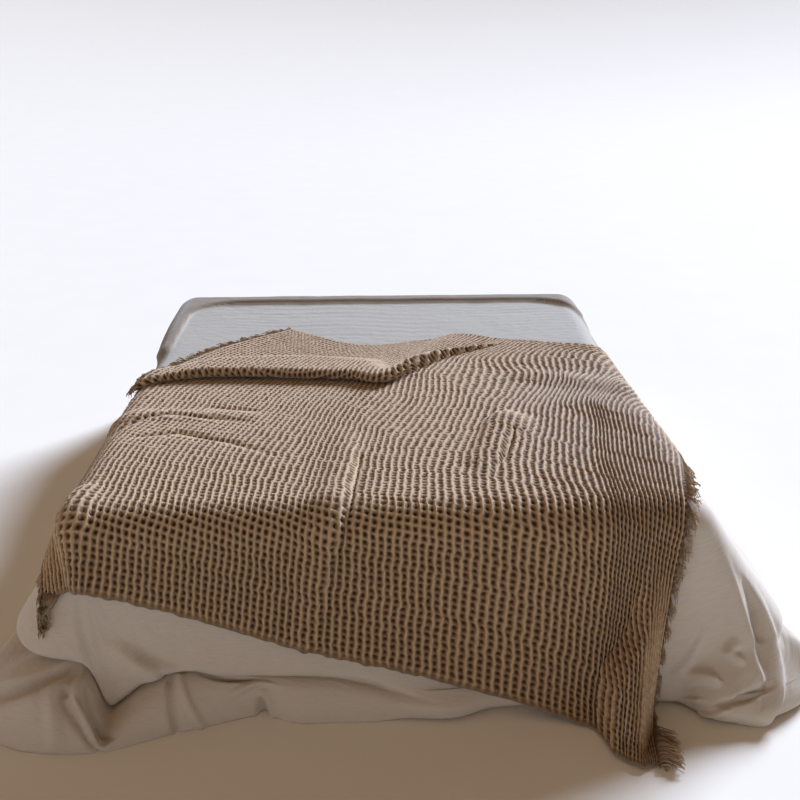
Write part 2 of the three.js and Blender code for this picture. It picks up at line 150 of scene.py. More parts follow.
@dataclass(frozen=True)
class BedShape:
    """Outer form of the dressed bed that the duvet has and the throw rests on.

    Attributes:
        top: Height of the flat top.
        head: Y of the head end.
        foot: Y where the rounding of the foot starts.
        edge: Rounding of the top's edges.
        half: Half the flat top's width.
        swell: What the head adds to that half.
        swell_run: Stretch along the bed over which it is added.
        foot_flare: How far the hanging foot stands out from upright, in degrees.
        left_flare: The same on the left side.
        right_flare: The same on the right side.
        cloth_floor: Level that resting cloth is measured from where it meets the floor.
        floor_round: Inside round of the cloth there.
    """

    top: float
    head: float
    foot: float = -960.0
    edge: float = 85.0
    half: float = 748.0
    swell: float = 28.0
    swell_run: tuple[float, float] = (1150.0, 1750.0)
    foot_flare: float = 15.0
    left_flare: float = 24.0
    right_flare: float = 34.0
    cloth_floor: float = -5.0
    floor_round: float = 100.0

    @classmethod
    def from_frame(cls) -> "BedShape":
        """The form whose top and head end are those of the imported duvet."""
        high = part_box("duvet")[1]
        return cls(top=high.z / MM, head=high.y / MM)

    def flat_half(self, along: Array) -> Array:
        """Half the flat top's width at distances along the bed."""
        return self.half + self.swell * smoothstep(along, *self.swell_run)

    def flare(self, way_x: Array) -> Array:
        """Flare, in radians, of the side that level directions with this X point to."""
        side = np.where(way_x < 0, self.left_flare, self.right_flare)
        return np.radians(self.foot_flare + (side - self.foot_flare) * way_x**2)

    def fall(self, reach: Array, flare: Array) -> tuple[Array, Array, Array]:
        """Profile of cloth that falls over an edge.

        Args:
            reach: Length of cloth past the flat top.
            flare: Flare of the side, in radians.

        Returns:
            How far out it is, its height, and the angle of its slope.
        """
        turn = math.pi / 2 - flare
        rounds = self.edge + self.floor_round
        line = (self.top - self.cloth_floor - rounds * (1 - np.cos(turn))) / np.sin(turn)
        arc = np.clip(reach / self.edge, 0.0, turn)
        slope = np.clip(reach - self.edge * turn, 0.0, line)
        foot = np.clip((reach - self.edge * turn - line) / self.floor_round, 0.0, turn)
        floor = np.maximum(reach - rounds * turn - line, 0.0)
        out = self.edge * np.sin(arc) + self.floor_round * (np.sin(turn) - np.sin(turn - foot))
        drop = self.edge * (1 - np.cos(arc)) + self.floor_round * (np.cos(turn - foot) - np.cos(turn))
        height = self.top - drop - slope * np.sin(turn)
        return out + slope * np.cos(turn) + floor, height, arc - foot

    def skin(self, across: Array, along: Array, swing: Array) -> tuple[Array, Array]:
        """The bed's surface under places on the unrolled bed.

        Args:
            across: Places across.
            along: Places along.
            swing: What is added to the flare, in radians.

        Returns:
            The points and the surface's normals there.
        """
        half = self.flat_half(along)
        level = np.clip(across, -half, half)
        past_x = across - level
        past_y = np.minimum(along, 0.0)
        reach = np.hypot(past_x, past_y)
        way_x = past_x / np.maximum(reach, TINY)
        way_y = past_y / np.maximum(reach, TINY)
        out, height, angle = self.fall(reach, self.flare(way_x) + swing)
        y = self.foot + np.maximum(along, 0.0) + way_y * out
        points = np.stack([level + way_x * out, y, height], axis=1)
        normals = np.stack([way_x * np.sin(angle), way_y * np.sin(angle), np.cos(angle)], axis=1)
        return points, normals


@dataclass(frozen=True)
class Course:
    """A line across the throw, at a share of its way from the foot hem to the head hem.

    Attributes:
        share: That share.
        across: Places across the unrolled bed of the ribs in RIBS.
        along: Their places along it.
    """

    share: float
    across: tuple[float, ...]
    along: tuple[float, ...]


@dataclass(frozen=True)
class PleatRow:
    """The pleat at one share of the throw's width.

    Attributes:
        at: That share.
        fold: Length of cloth before the near fold.
        depth: How far the cloth runs back under it.
        turn: How far each fold turns, in degrees.
    """

    at: float
    fold: float
    depth: float
    turn: float


# Shares of the throw's width that the courses' places belong to
RIBS = [0.0, 0.22, 0.44, 0.62, 0.78, 0.88, 1.0]
COURSES = (
    Course(0.0, (-965, -575, -225, 85, 370, 510, 610), (-178, -272, -382, -460, -555, -630, -735)),
    Course(0.2, (-905, -540, -195, 105, 400, 555, 672), (200, 55, -30, -70, -160, -250, -330)),
    Course(0.4, (-850, -485, -155, 135, 415, 585, 760), (565, 385, 320, 315, 235, 140, 60)),
    Course(0.6, (-775, -430, -85, 195, 465, 640, 860), (930, 720, 670, 700, 630, 530, 450)),
    Course(0.8, (-600, -290, 45, 320, 580, 755, 960), (1240, 1015, 1035, 1080, 1020, 930, 840)),
    Course(1.0, (-350, -60, 285, 580, 850, 1010, 1170), (1480, 1265, 1355, 1310, 1240, 1210, 1185)),
)
# The pleat near the head, from the left end to where it has died away
PLEAT = (
    PleatRow(0.0, 1010, 60, 180),
    PleatRow(0.1, 1110, 110, 180),
    PleatRow(0.22, 1185, 135, 180),
    PleatRow(0.38, 1245, 90, 180),
    PleatRow(0.46, 1290, 25, 175),
    PleatRow(0.505, 1390, 14, 130),
    PleatRow(0.54, 1550, 8, 60),
    PleatRow(0.575, 1710, 6, 30),
    PleatRow(0.61, 1840, 6, 0),
    PleatRow(1.0, 1900, 6, 0),
)
# Ridges and creases of the throw, on the unrolled bed
THROW_FOLDS = (
    Fold(((60, 1000), (320, 1420)), (6, 14), 60, 150),
    Fold(((245, 210), (330, 470)), (12, 36), 60, 130),
    Fold(((255, 90), (290, 180), (322, 262), (362, 395)), (-4, -13, -22, -8), 19, 19),
    Fold(((285, 120), (350, 270), (392, 400)), (-1, -8, -3), 12, 12),
    Fold(((-105, 400), (-120, 110), (-150, -60), (-170, -150), (-210, -350)), (4, 14, 20, 20, 12), 30, 85),
    Fold(((-84, 240), (-104, -10), (-126, -120)), (-4, -7, -5), 16, 16),
    Fold(((-800, 60), (-780, -200)), (14, 16), 70, 60),
    Fold(((-860, 590), (-420, 560)), (8, 5), 60, 60),
    Fold(((-800, 470), (-720, 560), (-660, 580), (-530, 545), (-425, 520)), (-4, -9, -9, -8, -3), 18, 18),
    Fold(((-730, 410), (-610, 440), (-445, 360), (-350, 290)), (-3, -8, -8, -3), 18, 18),
    Fold(((-545, 640), (-400, 600)), (-5, -6), 18, 18),
    Fold(((480, 900), (760, 800)), (10, 8), 90, 90),
    Fold(((640, -240), (604, -360), (560, -450), (552, -560), (552, -700)), (2, 8, 9, 8, 6), 46, 16),
    Fold(((612, -330), (600, -450), (594, -540), (590, -620)), (-2, -6, -5, 0), 16, 16),
)
# How far the ribs are drawn aside, to the right, on the unrolled bed
RIB_BENDS = (
    Fold(
        ((180, 860), (330, 900), (480, 930), (620, 930), (760, 930), (900, 900)),
        (0, 70, 88, 80, 72, 20),
        230,
        320,
    ),
    Fold(((690, 700), (790, 690), (880, 650)), (0, 40, 16), 260, 140),
    Fold(((-860, 340), (-700, 340), (-560, 340), (-380, 340), (-240, 340)), (0, -40, -52, -40, 0), 300, 400),
    Fold(
        ((-60, 520), (60, 580), (180, 640), (300, 700), (420, 760), (560, 830)),
        (0, 45, 62, 70, 52, 0),
        330,
        600,
    ),
    Fold(((420, 1330), (600, 1300), (720, 1270), (960, 1230)), (-30, -80, -80, 0), 210, 210),
)
# Shares of the throw's width, and the shares that they are drawn to as the cloth gathers to the right
GATHERS = ((0.0, 0.4, 0.6, 0.8, 0.857, 1.0), (0.0, 0.405, 0.624, 0.85, 0.89, 1.0))


@dataclass(frozen=True)
class Drape:
    """How the throw lies on the bed: from a place on the flat cloth to a point in the part's frame.

    Attributes:
        bed: Form that it rests on.
        wide: Width between the fringed ends.
        long: Length between the hems.
        rest: From the bed to the middle of the cloth.
        pleat_round: Radius of the pleat's folds.
        pleat_fall: Stretch over which the flap comes down behind the pleat.
        pleat_press: Share of its height at its left end, and share of the width where it is whole.
        least_turn: Turn, in degrees, that stands for none where the pleat has died away.
        flute: Shares of the width where the near right flute starts, where its face starts and ends,
            and where it would have died away.
        flute_lean: How far its left edge leans to the right towards its top, as a share of the width.
        flute_rises: Shares of the length between which it leans.
        flute_swing: How far the flute swings out, in degrees.
        flute_fades: Shares of the length between which it fades.
        probe: Distance either side of a place over which the cloth's slope is measured.
    """

    bed: BedShape
    wide: float = CLOTH[0]
    long: float = CLOTH[1]
    rest: float = 13.0
    pleat_round: float = 10.0
    pleat_fall: float = 150.0
    pleat_press: tuple[float, float] = (0.6, 0.1)
    least_turn: float = 1.0
    flute: tuple[float, float, float, float] = (0.858, 0.886, 0.925, 1.02)
    flute_lean: float = 0.055
    flute_rises: tuple[float, float] = (0.07, 0.2)
    flute_swing: float = 16.0
    flute_fades: tuple[float, float] = (0.15, 0.38)
    probe: float = 1.0

    def through_pleat(self, rib: Array, length: Array) -> tuple[Array, Array]:
        """How far along the bed, and how high over it, cloth lies after it has run through the pleat.

        Args:
            rib: Shares of the width.
            length: Lengths of cloth from the foot hem.

        Returns:
            The way along and the rise.
        """
        inside = np.clip(rib, 0.0, 1.0)
        places = [row.at for row in PLEAT]
        fold = through(places, [row.fold for row in PLEAT], inside)
        depth = through(places, [row.depth for row in PLEAT], inside)
        turn = through(places, [row.turn for row in PLEAT], inside)
        angle = np.radians(np.maximum(turn, self.least_turn))
        bend = math.pi * self.pleat_round
        radius = bend / angle
        start = fold + depth
        first = np.clip((length - start) / radius, 0.0, angle)
        back = np.clip(length - start - bend, 0.0, depth)
        second = angle - np.clip((length - start - bend - depth) / radius, 0.0, angle)
        on = np.maximum(length - start - 2 * bend - depth, 0.0)
        sines = np.sin(first) + np.sin(angle) - np.sin(second)
        cosines = 1 - np.cos(first) + np.cos(second) - np.cos(angle)
        along = np.minimum(length, start) + radius * sines + back * np.cos(angle) + on
        rise = radius * cosines + back * np.sin(angle)
        down = (on > 0) * smoothstep(along - start, 0.0, self.pleat_fall)
        least, whole = self.pleat_press
        pressed = least + (1 - least) * smoothstep(rib, 0.0, whole)
        return along, pressed * rise * (1 - down)

    def middle(self, across: Array, length: Array) -> Array:
        """Middle of the cloth's thickness.

        Args:
            across: Distances across from the left end.
            length: Lengths along from the foot hem.

        Returns:
            The points, in millimetres.
        """
        rib = through(GATHERS[0], GATHERS[1], across / self.wide)
        along, rise = self.through_pleat(rib, length)
        course = along / self.through_pleat(rib, np.full_like(length, self.long))[0]
        shares = [row.share for row in COURSES]
        x = through(shares, np.array([through(RIBS, row.across, rib) for row in COURSES]), course)
        y = through(shares, np.array([through(RIBS, row.along, rib) for row in COURSES]), course)
        begins, near, far, ends = self.flute
        leaning = rib - self.flute_lean * smoothstep(course, *self.flute_rises)
        swing = smoothstep(leaning, begins, near) * (1 - smoothstep(rib, far, ends))
        swing = swing * (1 - smoothstep(course, *self.flute_fades)) * math.radians(self.flute_swing)
        x = x + folded(RIB_BENDS, x, y)
        points, normals = self.bed.skin(x, y, swing)
        height = self.rest + rise + folded(THROW_FOLDS, x, y)
        return points + normals * height[:, None]

    def on_cloth(self, across: Array, length: Array, height: Array) -> Array:
        """Points at heights over the middle of the cloth.

        Args:
            across: Distances across from the left end.
            length: Lengths along from the foot hem.
            height: Heights along the cloth's normal.

        Returns:
            The points, in millimetres.
        """
        step = self.probe
        over = self.middle(across + step, length) - self.middle(across - step, length)
        onward = self.middle(across, length + step) - self.middle(across, length - step)
        normal = np.cross(over, onward)
        normal /= np.linalg.norm(normal, axis=1)[:, None]
        return self.middle(across, length) + normal * height[:, None]


def layered_sheet(name: str, steps: tuple[int, int], skip: tuple[int, int]) -> bpy.types.Mesh:
    """Closed flat sheet over the unit square, its fine upper layer at z 1 and a coarse lower one at z 0.

    Args:
        name: The mesh's name.
        steps: Steps of the upper layer across and along.
        skip: Upper steps, across and along, for each step of the lower layer.

    Returns:
        The mesh.
    """
    bm = bmesh.new()
    layers = []
    for level, (across, along) in ((1, steps), (0, (steps[0] // skip[0], steps[1] // skip[1]))):
        place = Matrix.Translation((0.5, 0.5, level))
        grid = bmesh.ops.create_grid(bm, x_segments=across, y_segments=along, size=0.5, matrix=place)
        ordered = sorted(grid["verts"], key=lambda v: (round(v.co.y * along), round(v.co.x * across)))
        layers.append(np.array(ordered, dtype=object).reshape(along + 1, across + 1))
    upper, lower = layers
    borders = [
        (upper[0], lower[0], skip[0]),
        (upper[-1], lower[-1], skip[0]),
        (upper[:, 0], lower[:, 0], skip[1]),
        (upper[:, -1], lower[:, -1], skip[1]),
    ]
    for fine, coarse, step in borders:
        for k in range(len(coarse) - 1):
            bm.faces.new([*fine[k * step : (k + 1) * step + 1], coarse[k + 1], coarse[k]])
    bmesh.ops.recalc_face_normals(bm, faces=bm.faces)
    mesh = bpy.data.meshes.new(name)
    bm.to_mesh(mesh)
    bm.free()
    return mesh


def vertex_array(mesh: bpy.types.Mesh) -> Array:
    """The mesh's vertices as an array.

    Args:
        mesh: The mesh.

    Returns:
        A point for each vertex, in the mesh's own units.
    """
    points = np.empty(len(mesh.vertices) * 3)
    mesh.vertices.foreach_get("co", points)
    return points.reshape(-1, 3)


def shape_mesh(mesh: bpy.types.Mesh, points: Array) -> None:
    """Moves a mesh's vertices to where they belong and shades it smooth.

    Args:
        mesh: The mesh.
        points: A point for each vertex, in millimetres.
    """
    mesh.vertices.foreach_set("co", (points * MM).ravel())
    mesh.shade_smooth()
    mesh.update()


def map_cloth(mesh: bpy.types.Mesh, across: Array, along: Array) -> None:
    """Gives a mesh a UV map named cloth, in metres on the flat cloth.

    Args:
        mesh: The mesh.
        across: Place across of each vertex, in millimetres.
        along: Place along of each vertex, in millimetres.
    """
    corners = np.empty(len(mesh.loops), dtype=np.int32)
    mesh.loops.foreach_get("vertex_index", corners)
    flat = np.stack([across, along], axis=1) * MM
    mesh.uv_layers.new(name="cloth").data.foreach_set("uv", flat[corners].ravel())


def mark(mesh: bpy.types.Mesh, name: str, values: Array) -> None:
    """Stores a number for each vertex as an attribute that a finish reads."""
    mesh.attributes.new(name, "FLOAT", "POINT").data.foreach_set("value", values.astype(np.float32))


def place_piece(
    name: str, mesh: bpy.types.Mesh, finish: "Finish", nodes: tuple[str, ...]
) -> bpy.types.Object:
    """Makes an object of a finished mesh and ties it to the part.

    Args:
        name: The piece's name.
        mesh: Its mesh, in place.
        finish: What it is made of.
        nodes: The part's solids that it stands for.

    Returns:
        The object.
    """
    mesh.materials.append(finish.material())
    piece = bpy.data.objects.new(name, mesh)
    bpy.context.scene.collection.objects.link(piece)
    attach(piece, BODY)
    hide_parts(*nodes)
    triangles = sum(len(face.vertices) - 2 for face in mesh.polygons)
    LOG.info("%s: %d triangles", name, triangles)
    return piece


def linear(code: str) -> tuple[float, float, float, float]:
    """Turns an sRGB hex colour into the linear colour that a socket takes.

    Args:
        code: The colour, as a hash sign and six digits.

    Returns:
        Red, green, blue and a full alpha.
    """
    parts = [int(code[i : i + 2], 16) / 255 for i in (1, 3, 5)]
    red, green, blue = [c / 12.92 if c <= 0.04045 else ((c + 0.055) / 1.055) ** 2.4 for c in parts]
    return red, green, blue, 1.0


def add_node(
    tree: bpy.types.NodeTree, kind: str, inputs: dict[str | int, object], **settings: object
) -> bpy.types.Node:
    """Adds a node, with its settings and its inputs set or linked.

    Args:
        tree: The tree that it goes into.
        kind: Type of the node.
        inputs: For a socket's name or number, a value or the socket that it is linked from.
        settings: The node's own properties.

    Returns:
        The node.
    """
    node = tree.nodes.new(kind)
    for name, value in settings.items():
        setattr(node, name, value)
    for name, value in inputs.items():
        if isinstance(value, bpy.types.NodeSocket):
            tree.links.new(value, node.inputs[name])
        else:
            node.inputs[name].default_value = value
    return node


class Finish:
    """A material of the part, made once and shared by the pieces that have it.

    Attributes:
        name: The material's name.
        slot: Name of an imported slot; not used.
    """

    name: str
    slot: str

    def material(self) -> bpy.types.Material:
        """The finish's material, made at the first call.

        Returns:
            The material.
        """
        known = bpy.data.materials.get(self.name)
        if known:
            return known
        material = bpy.data.materials.new(self.name)
        material.use_nodes = True
        tree = material.node_tree
        tree.nodes.clear()
        shader = self.dress(tree)
        add_node(tree, "ShaderNodeOutputMaterial", {"Surface": shader.outputs["BSDF"]})
        return material

    def dress(self, tree: bpy.types.NodeTree) -> bpy.types.Node:
        """Builds the finish's nodes and returns its shader."""
        raise NotImplementedError


# Mix node sockets for colours
MIX_A = 6
MIX_B = 7
MIX_RESULT = 2
# Radians that a wave texture turns through in a metre at a scale of 1
WAVE_TURN = 20


@dataclass(frozen=True)
class WaffleCotton(Finish):
    """Undyed-looking taupe cotton yarn in a deep waffle weave.

    Matt and slightly hairy: the raised ribs are painted pale for the light that they catch, the pockets
    between are painted deep brown for the shade in them, and the spun yarn is heathered along its length.

    Attributes:
        rib: Colour of the raised yarns, painted pale for the light that they catch.
        pocket: Colour at the bottom of the cells, painted dark for the shade there.
        cell: Pitch of the ribs and of the walls across them.
        bar: Least and most paleness of the bars that cross the pockets, as a share of the ribs'; where it is
            less, the bars carry more of the pockets' painted shade.
        thin: How much narrower the ribs and the bars are than plain waves.
        plain: Paleness of the hems and the fringe.
        wander: How far the yarns stray from true lines, and over what length.
        cord: Height that the ribs' shading stands for.
        heather: Length and width of the yarn's colour changes.
        yarn: Spacing of the yarns, drawn about twice as coarse as real ones so that it shows.
    """

    name: str = "waffle_cotton"
    slot: str = "throw_waffle"
    rib: str = "#ba9c78"
    pocket: str = "#452507"
    cell: tuple[float, float] = (CLOTH[0] / CELLS[0], CLOTH[1] / CELLS[1])
    bar: tuple[float, float] = (0.75, 1.0)
    thin: tuple[float, float] = (1.6, 1.6)
    plain: float = 0.35
    wander: tuple[float, float] = (5.0, 13.0)
    cord: float = 5.0
    heather: tuple[float, float] = (3.0, 14.0)
    yarn: float = 3.0

    def dress(self, tree: bpy.types.NodeTree) -> bpy.types.Node:
        """Builds the nodes.

        Args:
            tree: The material's tree.

        Returns:
            The shader node.
        """
        woven = add_node(tree, "ShaderNodeAttribute", {}, attribute_name="woven")
        cloth = add_node(tree, "ShaderNodeUVMap", {}, uv_map="cloth")
        stray = add_node(
            tree,
            "ShaderNodeTexNoise",
            {"Vector": cloth.outputs["UV"], "Scale": 1 / (self.wander[1] * MM), "Detail": 1.0},
        )
        even = add_node(
            tree, "ShaderNodeVectorMath", {0: stray.outputs["Color"], 1: (-0.5, -0.5, -0.5)}, operation="ADD"
        )
        far = self.wander[0] * MM
        moved = add_node(
            tree,
            "ShaderNodeVectorMath",
            {0: even.outputs[0], 1: (far, far, 0.0), 2: cloth.outputs["UV"]},
            operation="MULTIPLY_ADD",
        )
        apart = add_node(tree, "ShaderNodeSeparateXYZ", {0: moved.outputs[0]})
        bars = add_node(
            tree,
            "ShaderNodeMapRange",
            {
                "Value": stray.outputs["Fac"],
                "From Min": 0.35,
                "From Max": 0.65,
                "To Min": self.bar[0],
                "To Max": self.bar[1],
            },
        )
        # The bars take more of the pockets' painted shade where the cloth hangs or gathers than where it lies
        # flat and open.
        standing = add_node(tree, "ShaderNodeAttribute", {}, attribute_name="bars")
        crossing = add_node(
            tree,
            "ShaderNodeMath",
            {0: bars.outputs["Result"], 1: standing.outputs["Fac"]},
            operation="MULTIPLY",
        )
        valleys = []
        heights = (1.0, crossing.outputs[0])
        for axis, pitch, height, power in zip("XY", self.cell, heights, self.thin):
            turns = add_node(
                tree,
                "ShaderNodeMath",
                {0: apart.outputs[axis], 1: 2 * math.pi / (pitch * MM)},
                operation="MULTIPLY",
            )
            wave = add_node(tree, "ShaderNodeMath", {0: turns.outputs[0]}, operation="COSINE")
            lifted = add_node(
                tree, "ShaderNodeMath", {0: wave.outputs[0], 1: 0.5, 2: 0.5}, operation="MULTIPLY_ADD"
            )
            thin = add_node(tree, "ShaderNodeMath", {0: lifted.outputs[0], 1: power}, operation="POWER")
            line = add_node(tree, "ShaderNodeMath", {0: thin.outputs[0], 1: height}, operation="MULTIPLY")
            valley = add_node(tree, "ShaderNodeMath", {0: 1.0, 1: line.outputs[0]}, operation="SUBTRACT")
            valleys.append(valley.outputs[0])
        pocket = add_node(tree, "ShaderNodeMath", {0: valleys[0], 1: valleys[1]}, operation="MULTIPLY")
        raised = add_node(tree, "ShaderNodeMath", {0: 1.0, 1: pocket.outputs[0]}, operation="SUBTRACT")
        relief = add_node(
            tree,
            "ShaderNodeMix",
            {0: woven.outputs["Fac"], 2: self.plain, 3: raised.outputs[0]},
        )
        stretch = (1 / (self.heather[0] * MM), 1 / (self.heather[1] * MM), 1.0)
        streaks = add_node(tree, "ShaderNodeMapping", {"Vector": cloth.outputs["UV"], "Scale": stretch})
        heather = add_node(
            tree,
            "ShaderNodeTexNoise",
            {"Vector": streaks.outputs["Vector"], "Scale": 1.0, "Detail": 3.0},
        )
        # The relief mixes the pockets' painted shade with the ribs' painted light.
        weave = add_node(
            tree,
            "ShaderNodeMix",
            {0: relief.outputs[0], MIX_A: linear(self.pocket), MIX_B: linear(self.rib)},
            data_type="RGBA",
        )
        shade = add_node(
            tree,
            "ShaderNodeMapRange",
            {
                "Value": heather.outputs["Fac"],
                "From Min": 0.3,
                "From Max": 0.7,
                "To Min": 0.8,
                "To Max": 1.12,
            },
        )
        colour = add_node(
            tree,
            "ShaderNodeMix",
            {0: 1.0, MIX_A: weave.outputs[MIX_RESULT], MIX_B: shade.outputs["Result"]},
            data_type="RGBA",
            blend_type="MULTIPLY",
        )
        yarns = add_node(
            tree,
            "ShaderNodeTexNoise",
            {"Vector": cloth.outputs["UV"], "Scale": 1 / (self.yarn * MM), "Detail": 2.0, "Roughness": 0.6},
        )
        cords = add_node(
            tree,
            "ShaderNodeBump",
            {"Height": relief.outputs[0], "Strength": 0.7, "Distance": self.cord * MM},
        )
        bump = add_node(
            tree,
            "ShaderNodeBump",
            {
                "Height": yarns.outputs["Fac"],
                "Strength": 0.6,
                "Distance": 1.2 * MM,
                "Normal": cords.outputs["Normal"],
            },
        )
        return add_node(
            tree,
            "ShaderNodeBsdfPrincipled",
            {
                "Base Color": colour.outputs[MIX_RESULT],
                "Roughness": 0.92,
                "Specular IOR Level": 0.15,
                "Sheen Weight": 0.25,
                "Sheen Roughness": 0.5,
                "Normal": bump.outputs["Normal"],
            },
        )


@dataclass(frozen=True)
class WashedLinen(Finish):
    """Off-white washed linen over a soft filling.

    Plain weave with slubbed threads and the small crumples of cloth that is never ironed, so it is matt
    and a little uneven. The part that is turned up at the head is a cooler white that is also painted
    darker as shade on the head end, and the rim round it is painted a darker tone as shade.

    Attributes:
        off_white: Colour of the cloth.
        band: Colour of the rim at the head, darker: painted shade on the rim.
        white: Colour of the smooth part at the head, a cooler white painted darker as shade.
        slub: Width and length of the thick stretches in its threads, drawn coarser than real to show.
        crumple: Size of its small crumples.
        thread: Spacing of its threads, drawn about three times as coarse as real ones to show.
    """

    name: str = "washed_linen"
    slot: str = "duvet_linen"
    off_white: str = "#c2b5a5"
    band: str = "#7a6b57"
    white: str = "#9d968a"
    slub: tuple[float, float] = (2.0, 40.0)
    crumple: float = 42.0
    thread: float = 2.0

    def dress(self, tree: bpy.types.NodeTree) -> bpy.types.Node:
        """Builds the nodes.

        Args:
            tree: The material's tree.

        Returns:
            The shader node.
        """
        cloth = add_node(tree, "ShaderNodeUVMap", {}, uv_map="cloth")
        head = add_node(tree, "ShaderNodeAttribute", {}, attribute_name="head_sheet_and_shade")
        rim = add_node(tree, "ShaderNodeAttribute", {}, attribute_name="head_rim_shade")
        stretch = (1 / (self.slub[1] * MM), 1 / (self.slub[0] * MM), 1.0)
        streaks = add_node(tree, "ShaderNodeMapping", {"Vector": cloth.outputs["UV"], "Scale": stretch})
        slubs = add_node(
            tree,
            "ShaderNodeTexNoise",
            {"Vector": streaks.outputs["Vector"], "Scale": 1.0, "Detail": 2.0},
        )
        # The rim's band colour is painted shade.
        outer = add_node(
            tree,
            "ShaderNodeMix",
            {0: rim.outputs["Fac"], MIX_A: linear(self.off_white), MIX_B: linear(self.band)},
            data_type="RGBA",
        )
        # The head's white is a cooler cloth, painted darker as shade on the head end.
        tone = add_node(
            tree,
            "ShaderNodeMix",
            {0: head.outputs["Fac"], MIX_A: outer.outputs[MIX_RESULT], MIX_B: linear(self.white)},
            data_type="RGBA",
        )
        shade = add_node(
            tree,
            "ShaderNodeMapRange",
            {"Value": slubs.outputs["Fac"], "From Min": 0.3, "From Max": 0.7, "To Min": 0.93, "To Max": 1.03},
        )
        colour = add_node(
            tree,
            "ShaderNodeMix",
            {0: 1.0, MIX_A: tone.outputs[MIX_RESULT], MIX_B: shade.outputs["Result"]},
            data_type="RGBA",
            blend_type="MULTIPLY",
        )
        crumples = add_node(
            tree,
            "ShaderNodeTexNoise",
            {
                "Vector": cloth.outputs["UV"],
                "Scale": 1 / (self.crumple * MM),
                "Detail": 3.0,
                "Roughness": 0.5,
                "Distortion": 0.6,
            },
        )
        soft = add_node(
            tree,
            "ShaderNodeBump",
            {"Height": crumples.outputs["Fac"], "Strength": 0.35, "Distance": 8 * MM},
        )
        threads = add_node(
            tree,
            "ShaderNodeTexNoise",
            {"Vector": cloth.outputs["UV"], "Scale": 1 / (self.thread * MM), "Detail": 1.0},
        )
        fine = add_node(
            tree,
            "ShaderNodeBump",
            {
                "Height": threads.outputs["Fac"],
                "Strength": 0.3,
                "Distance": 0.5 * MM,
                "Normal": soft.outputs["Normal"],
            },
        )
        return add_node(
            tree,
            "ShaderNodeBsdfPrincipled",
            {
                "Base Color": colour.outputs[MIX_RESULT],
                "Roughness": 0.85,
                "Specular IOR Level": 0.2,
                "Sheen Weight": 0.2,
                "Sheen Roughness": 0.4,
                "Normal": fine.outputs["Normal"],
            },
        )


@dataclass(frozen=True)
class CottonTicking(Finish):
    """Pale woven cotton ticking of a mattress, with fine woven stripes.

    Attributes:
        ground: Colour of the cloth.
        stripe: Colour of the stripes.
        pitch: Spacing of the stripes.
        thread: Spacing of its threads, drawn coarser than real ones to show.
    """

    name: str = "cotton_ticking"
    slot: str = "mattress_ticking"
    ground: str = "#c4bfb6"
    stripe: str = "#aaa397"
    pitch: float = 9.0
    thread: float = 2.5

    def dress(self, tree: bpy.types.NodeTree) -> bpy.types.Node:
        """Builds the nodes.

        Args:
            tree: The material's tree.

        Returns:
            The shader node.
        """
        place = add_node(tree, "ShaderNodeTexCoord", {})
        stripes = add_node(
            tree,
            "ShaderNodeTexWave",
            {"Vector": place.outputs["Object"], "Scale": 2 * math.pi / (WAVE_TURN * self.pitch * MM)},
            bands_direction="X",
        )
        colour = add_node(
            tree,
            "ShaderNodeMix",
            {0: stripes.outputs["Fac"], MIX_A: linear(self.ground), MIX_B: linear(self.stripe)},
            data_type="RGBA",
        )
        grain = add_node(
            tree,
            "ShaderNodeTexNoise",
            {"Vector": place.outputs["Object"], "Scale": 1 / (self.thread * MM), "Detail": 1.0},
        )
        bump = add_node(
            tree,
            "ShaderNodeBump",
            {"Height": grain.outputs["Fac"], "Strength": 0.3, "Distance": 0.6 * MM},
        )
        return add_node(
            tree,
            "ShaderNodeBsdfPrincipled",
            {
                "Base Color": colour.outputs[MIX_RESULT],
                "Roughness": 0.85,
                "Specular IOR Level": 0.2,
                "Normal": bump.outputs["Normal"],
            },
        )


@dataclass(frozen=True)
class SawnTimber(Finish):
    """Plain sawn softwood of the bed's base, matt, with straight grain along the bed.

    Attributes:
        early: Colour of the pale wood between the rings.
        late: Colour of the dark lines.
        ring: Spacing of the grain lines.
        streak: How fast the grain changes along the bed, as a share of how it changes across.
    """

    name: str = "sawn_softwood"
    slot: str = "base_timber"
    early: str = "#a68f70"
    late: str = "#947a5a"
    ring: float = 14.0
    streak: float = 0.08

    def dress(self, tree: bpy.types.NodeTree) -> bpy.types.Node:
        """Builds the nodes.

        Args:
            tree: The material's tree.

        Returns:
            The shader node.
        """
        place = add_node(tree, "ShaderNodeTexCoord", {})
        stretch = (1.0, self.streak, 1.0)
        along = add_node(tree, "ShaderNodeMapping", {"Vector": place.outputs["Object"], "Scale": stretch})
        grain = add_node(
            tree,
            "ShaderNodeTexWave",
            {
                "Vector": along.outputs["Vector"],
                "Scale": 2 * math.pi / (WAVE_TURN * self.ring * MM),
                "Distortion": 2.0,
                "Detail": 3.0,
            },
            bands_direction="Z",
        )
        colour = add_node(
            tree,
            "ShaderNodeMix",
            {0: grain.outputs["Fac"], MIX_A: linear(self.early), MIX_B: linear(self.late)},
            data_type="RGBA",
        )
        bump = add_node(
            tree,
            "ShaderNodeBump",
            {"Height": grain.outputs["Fac"], "Strength": 0.3, "Distance": 0.8 * MM},
        )
        return add_node(
            tree,
            "ShaderNodeBsdfPrincipled",
            {
                "Base Color": colour.outputs[MIX_RESULT],
                "Roughness": 0.65,
                "IOR": 1.5,
                "Normal": bump.outputs["Normal"],
            },
        )


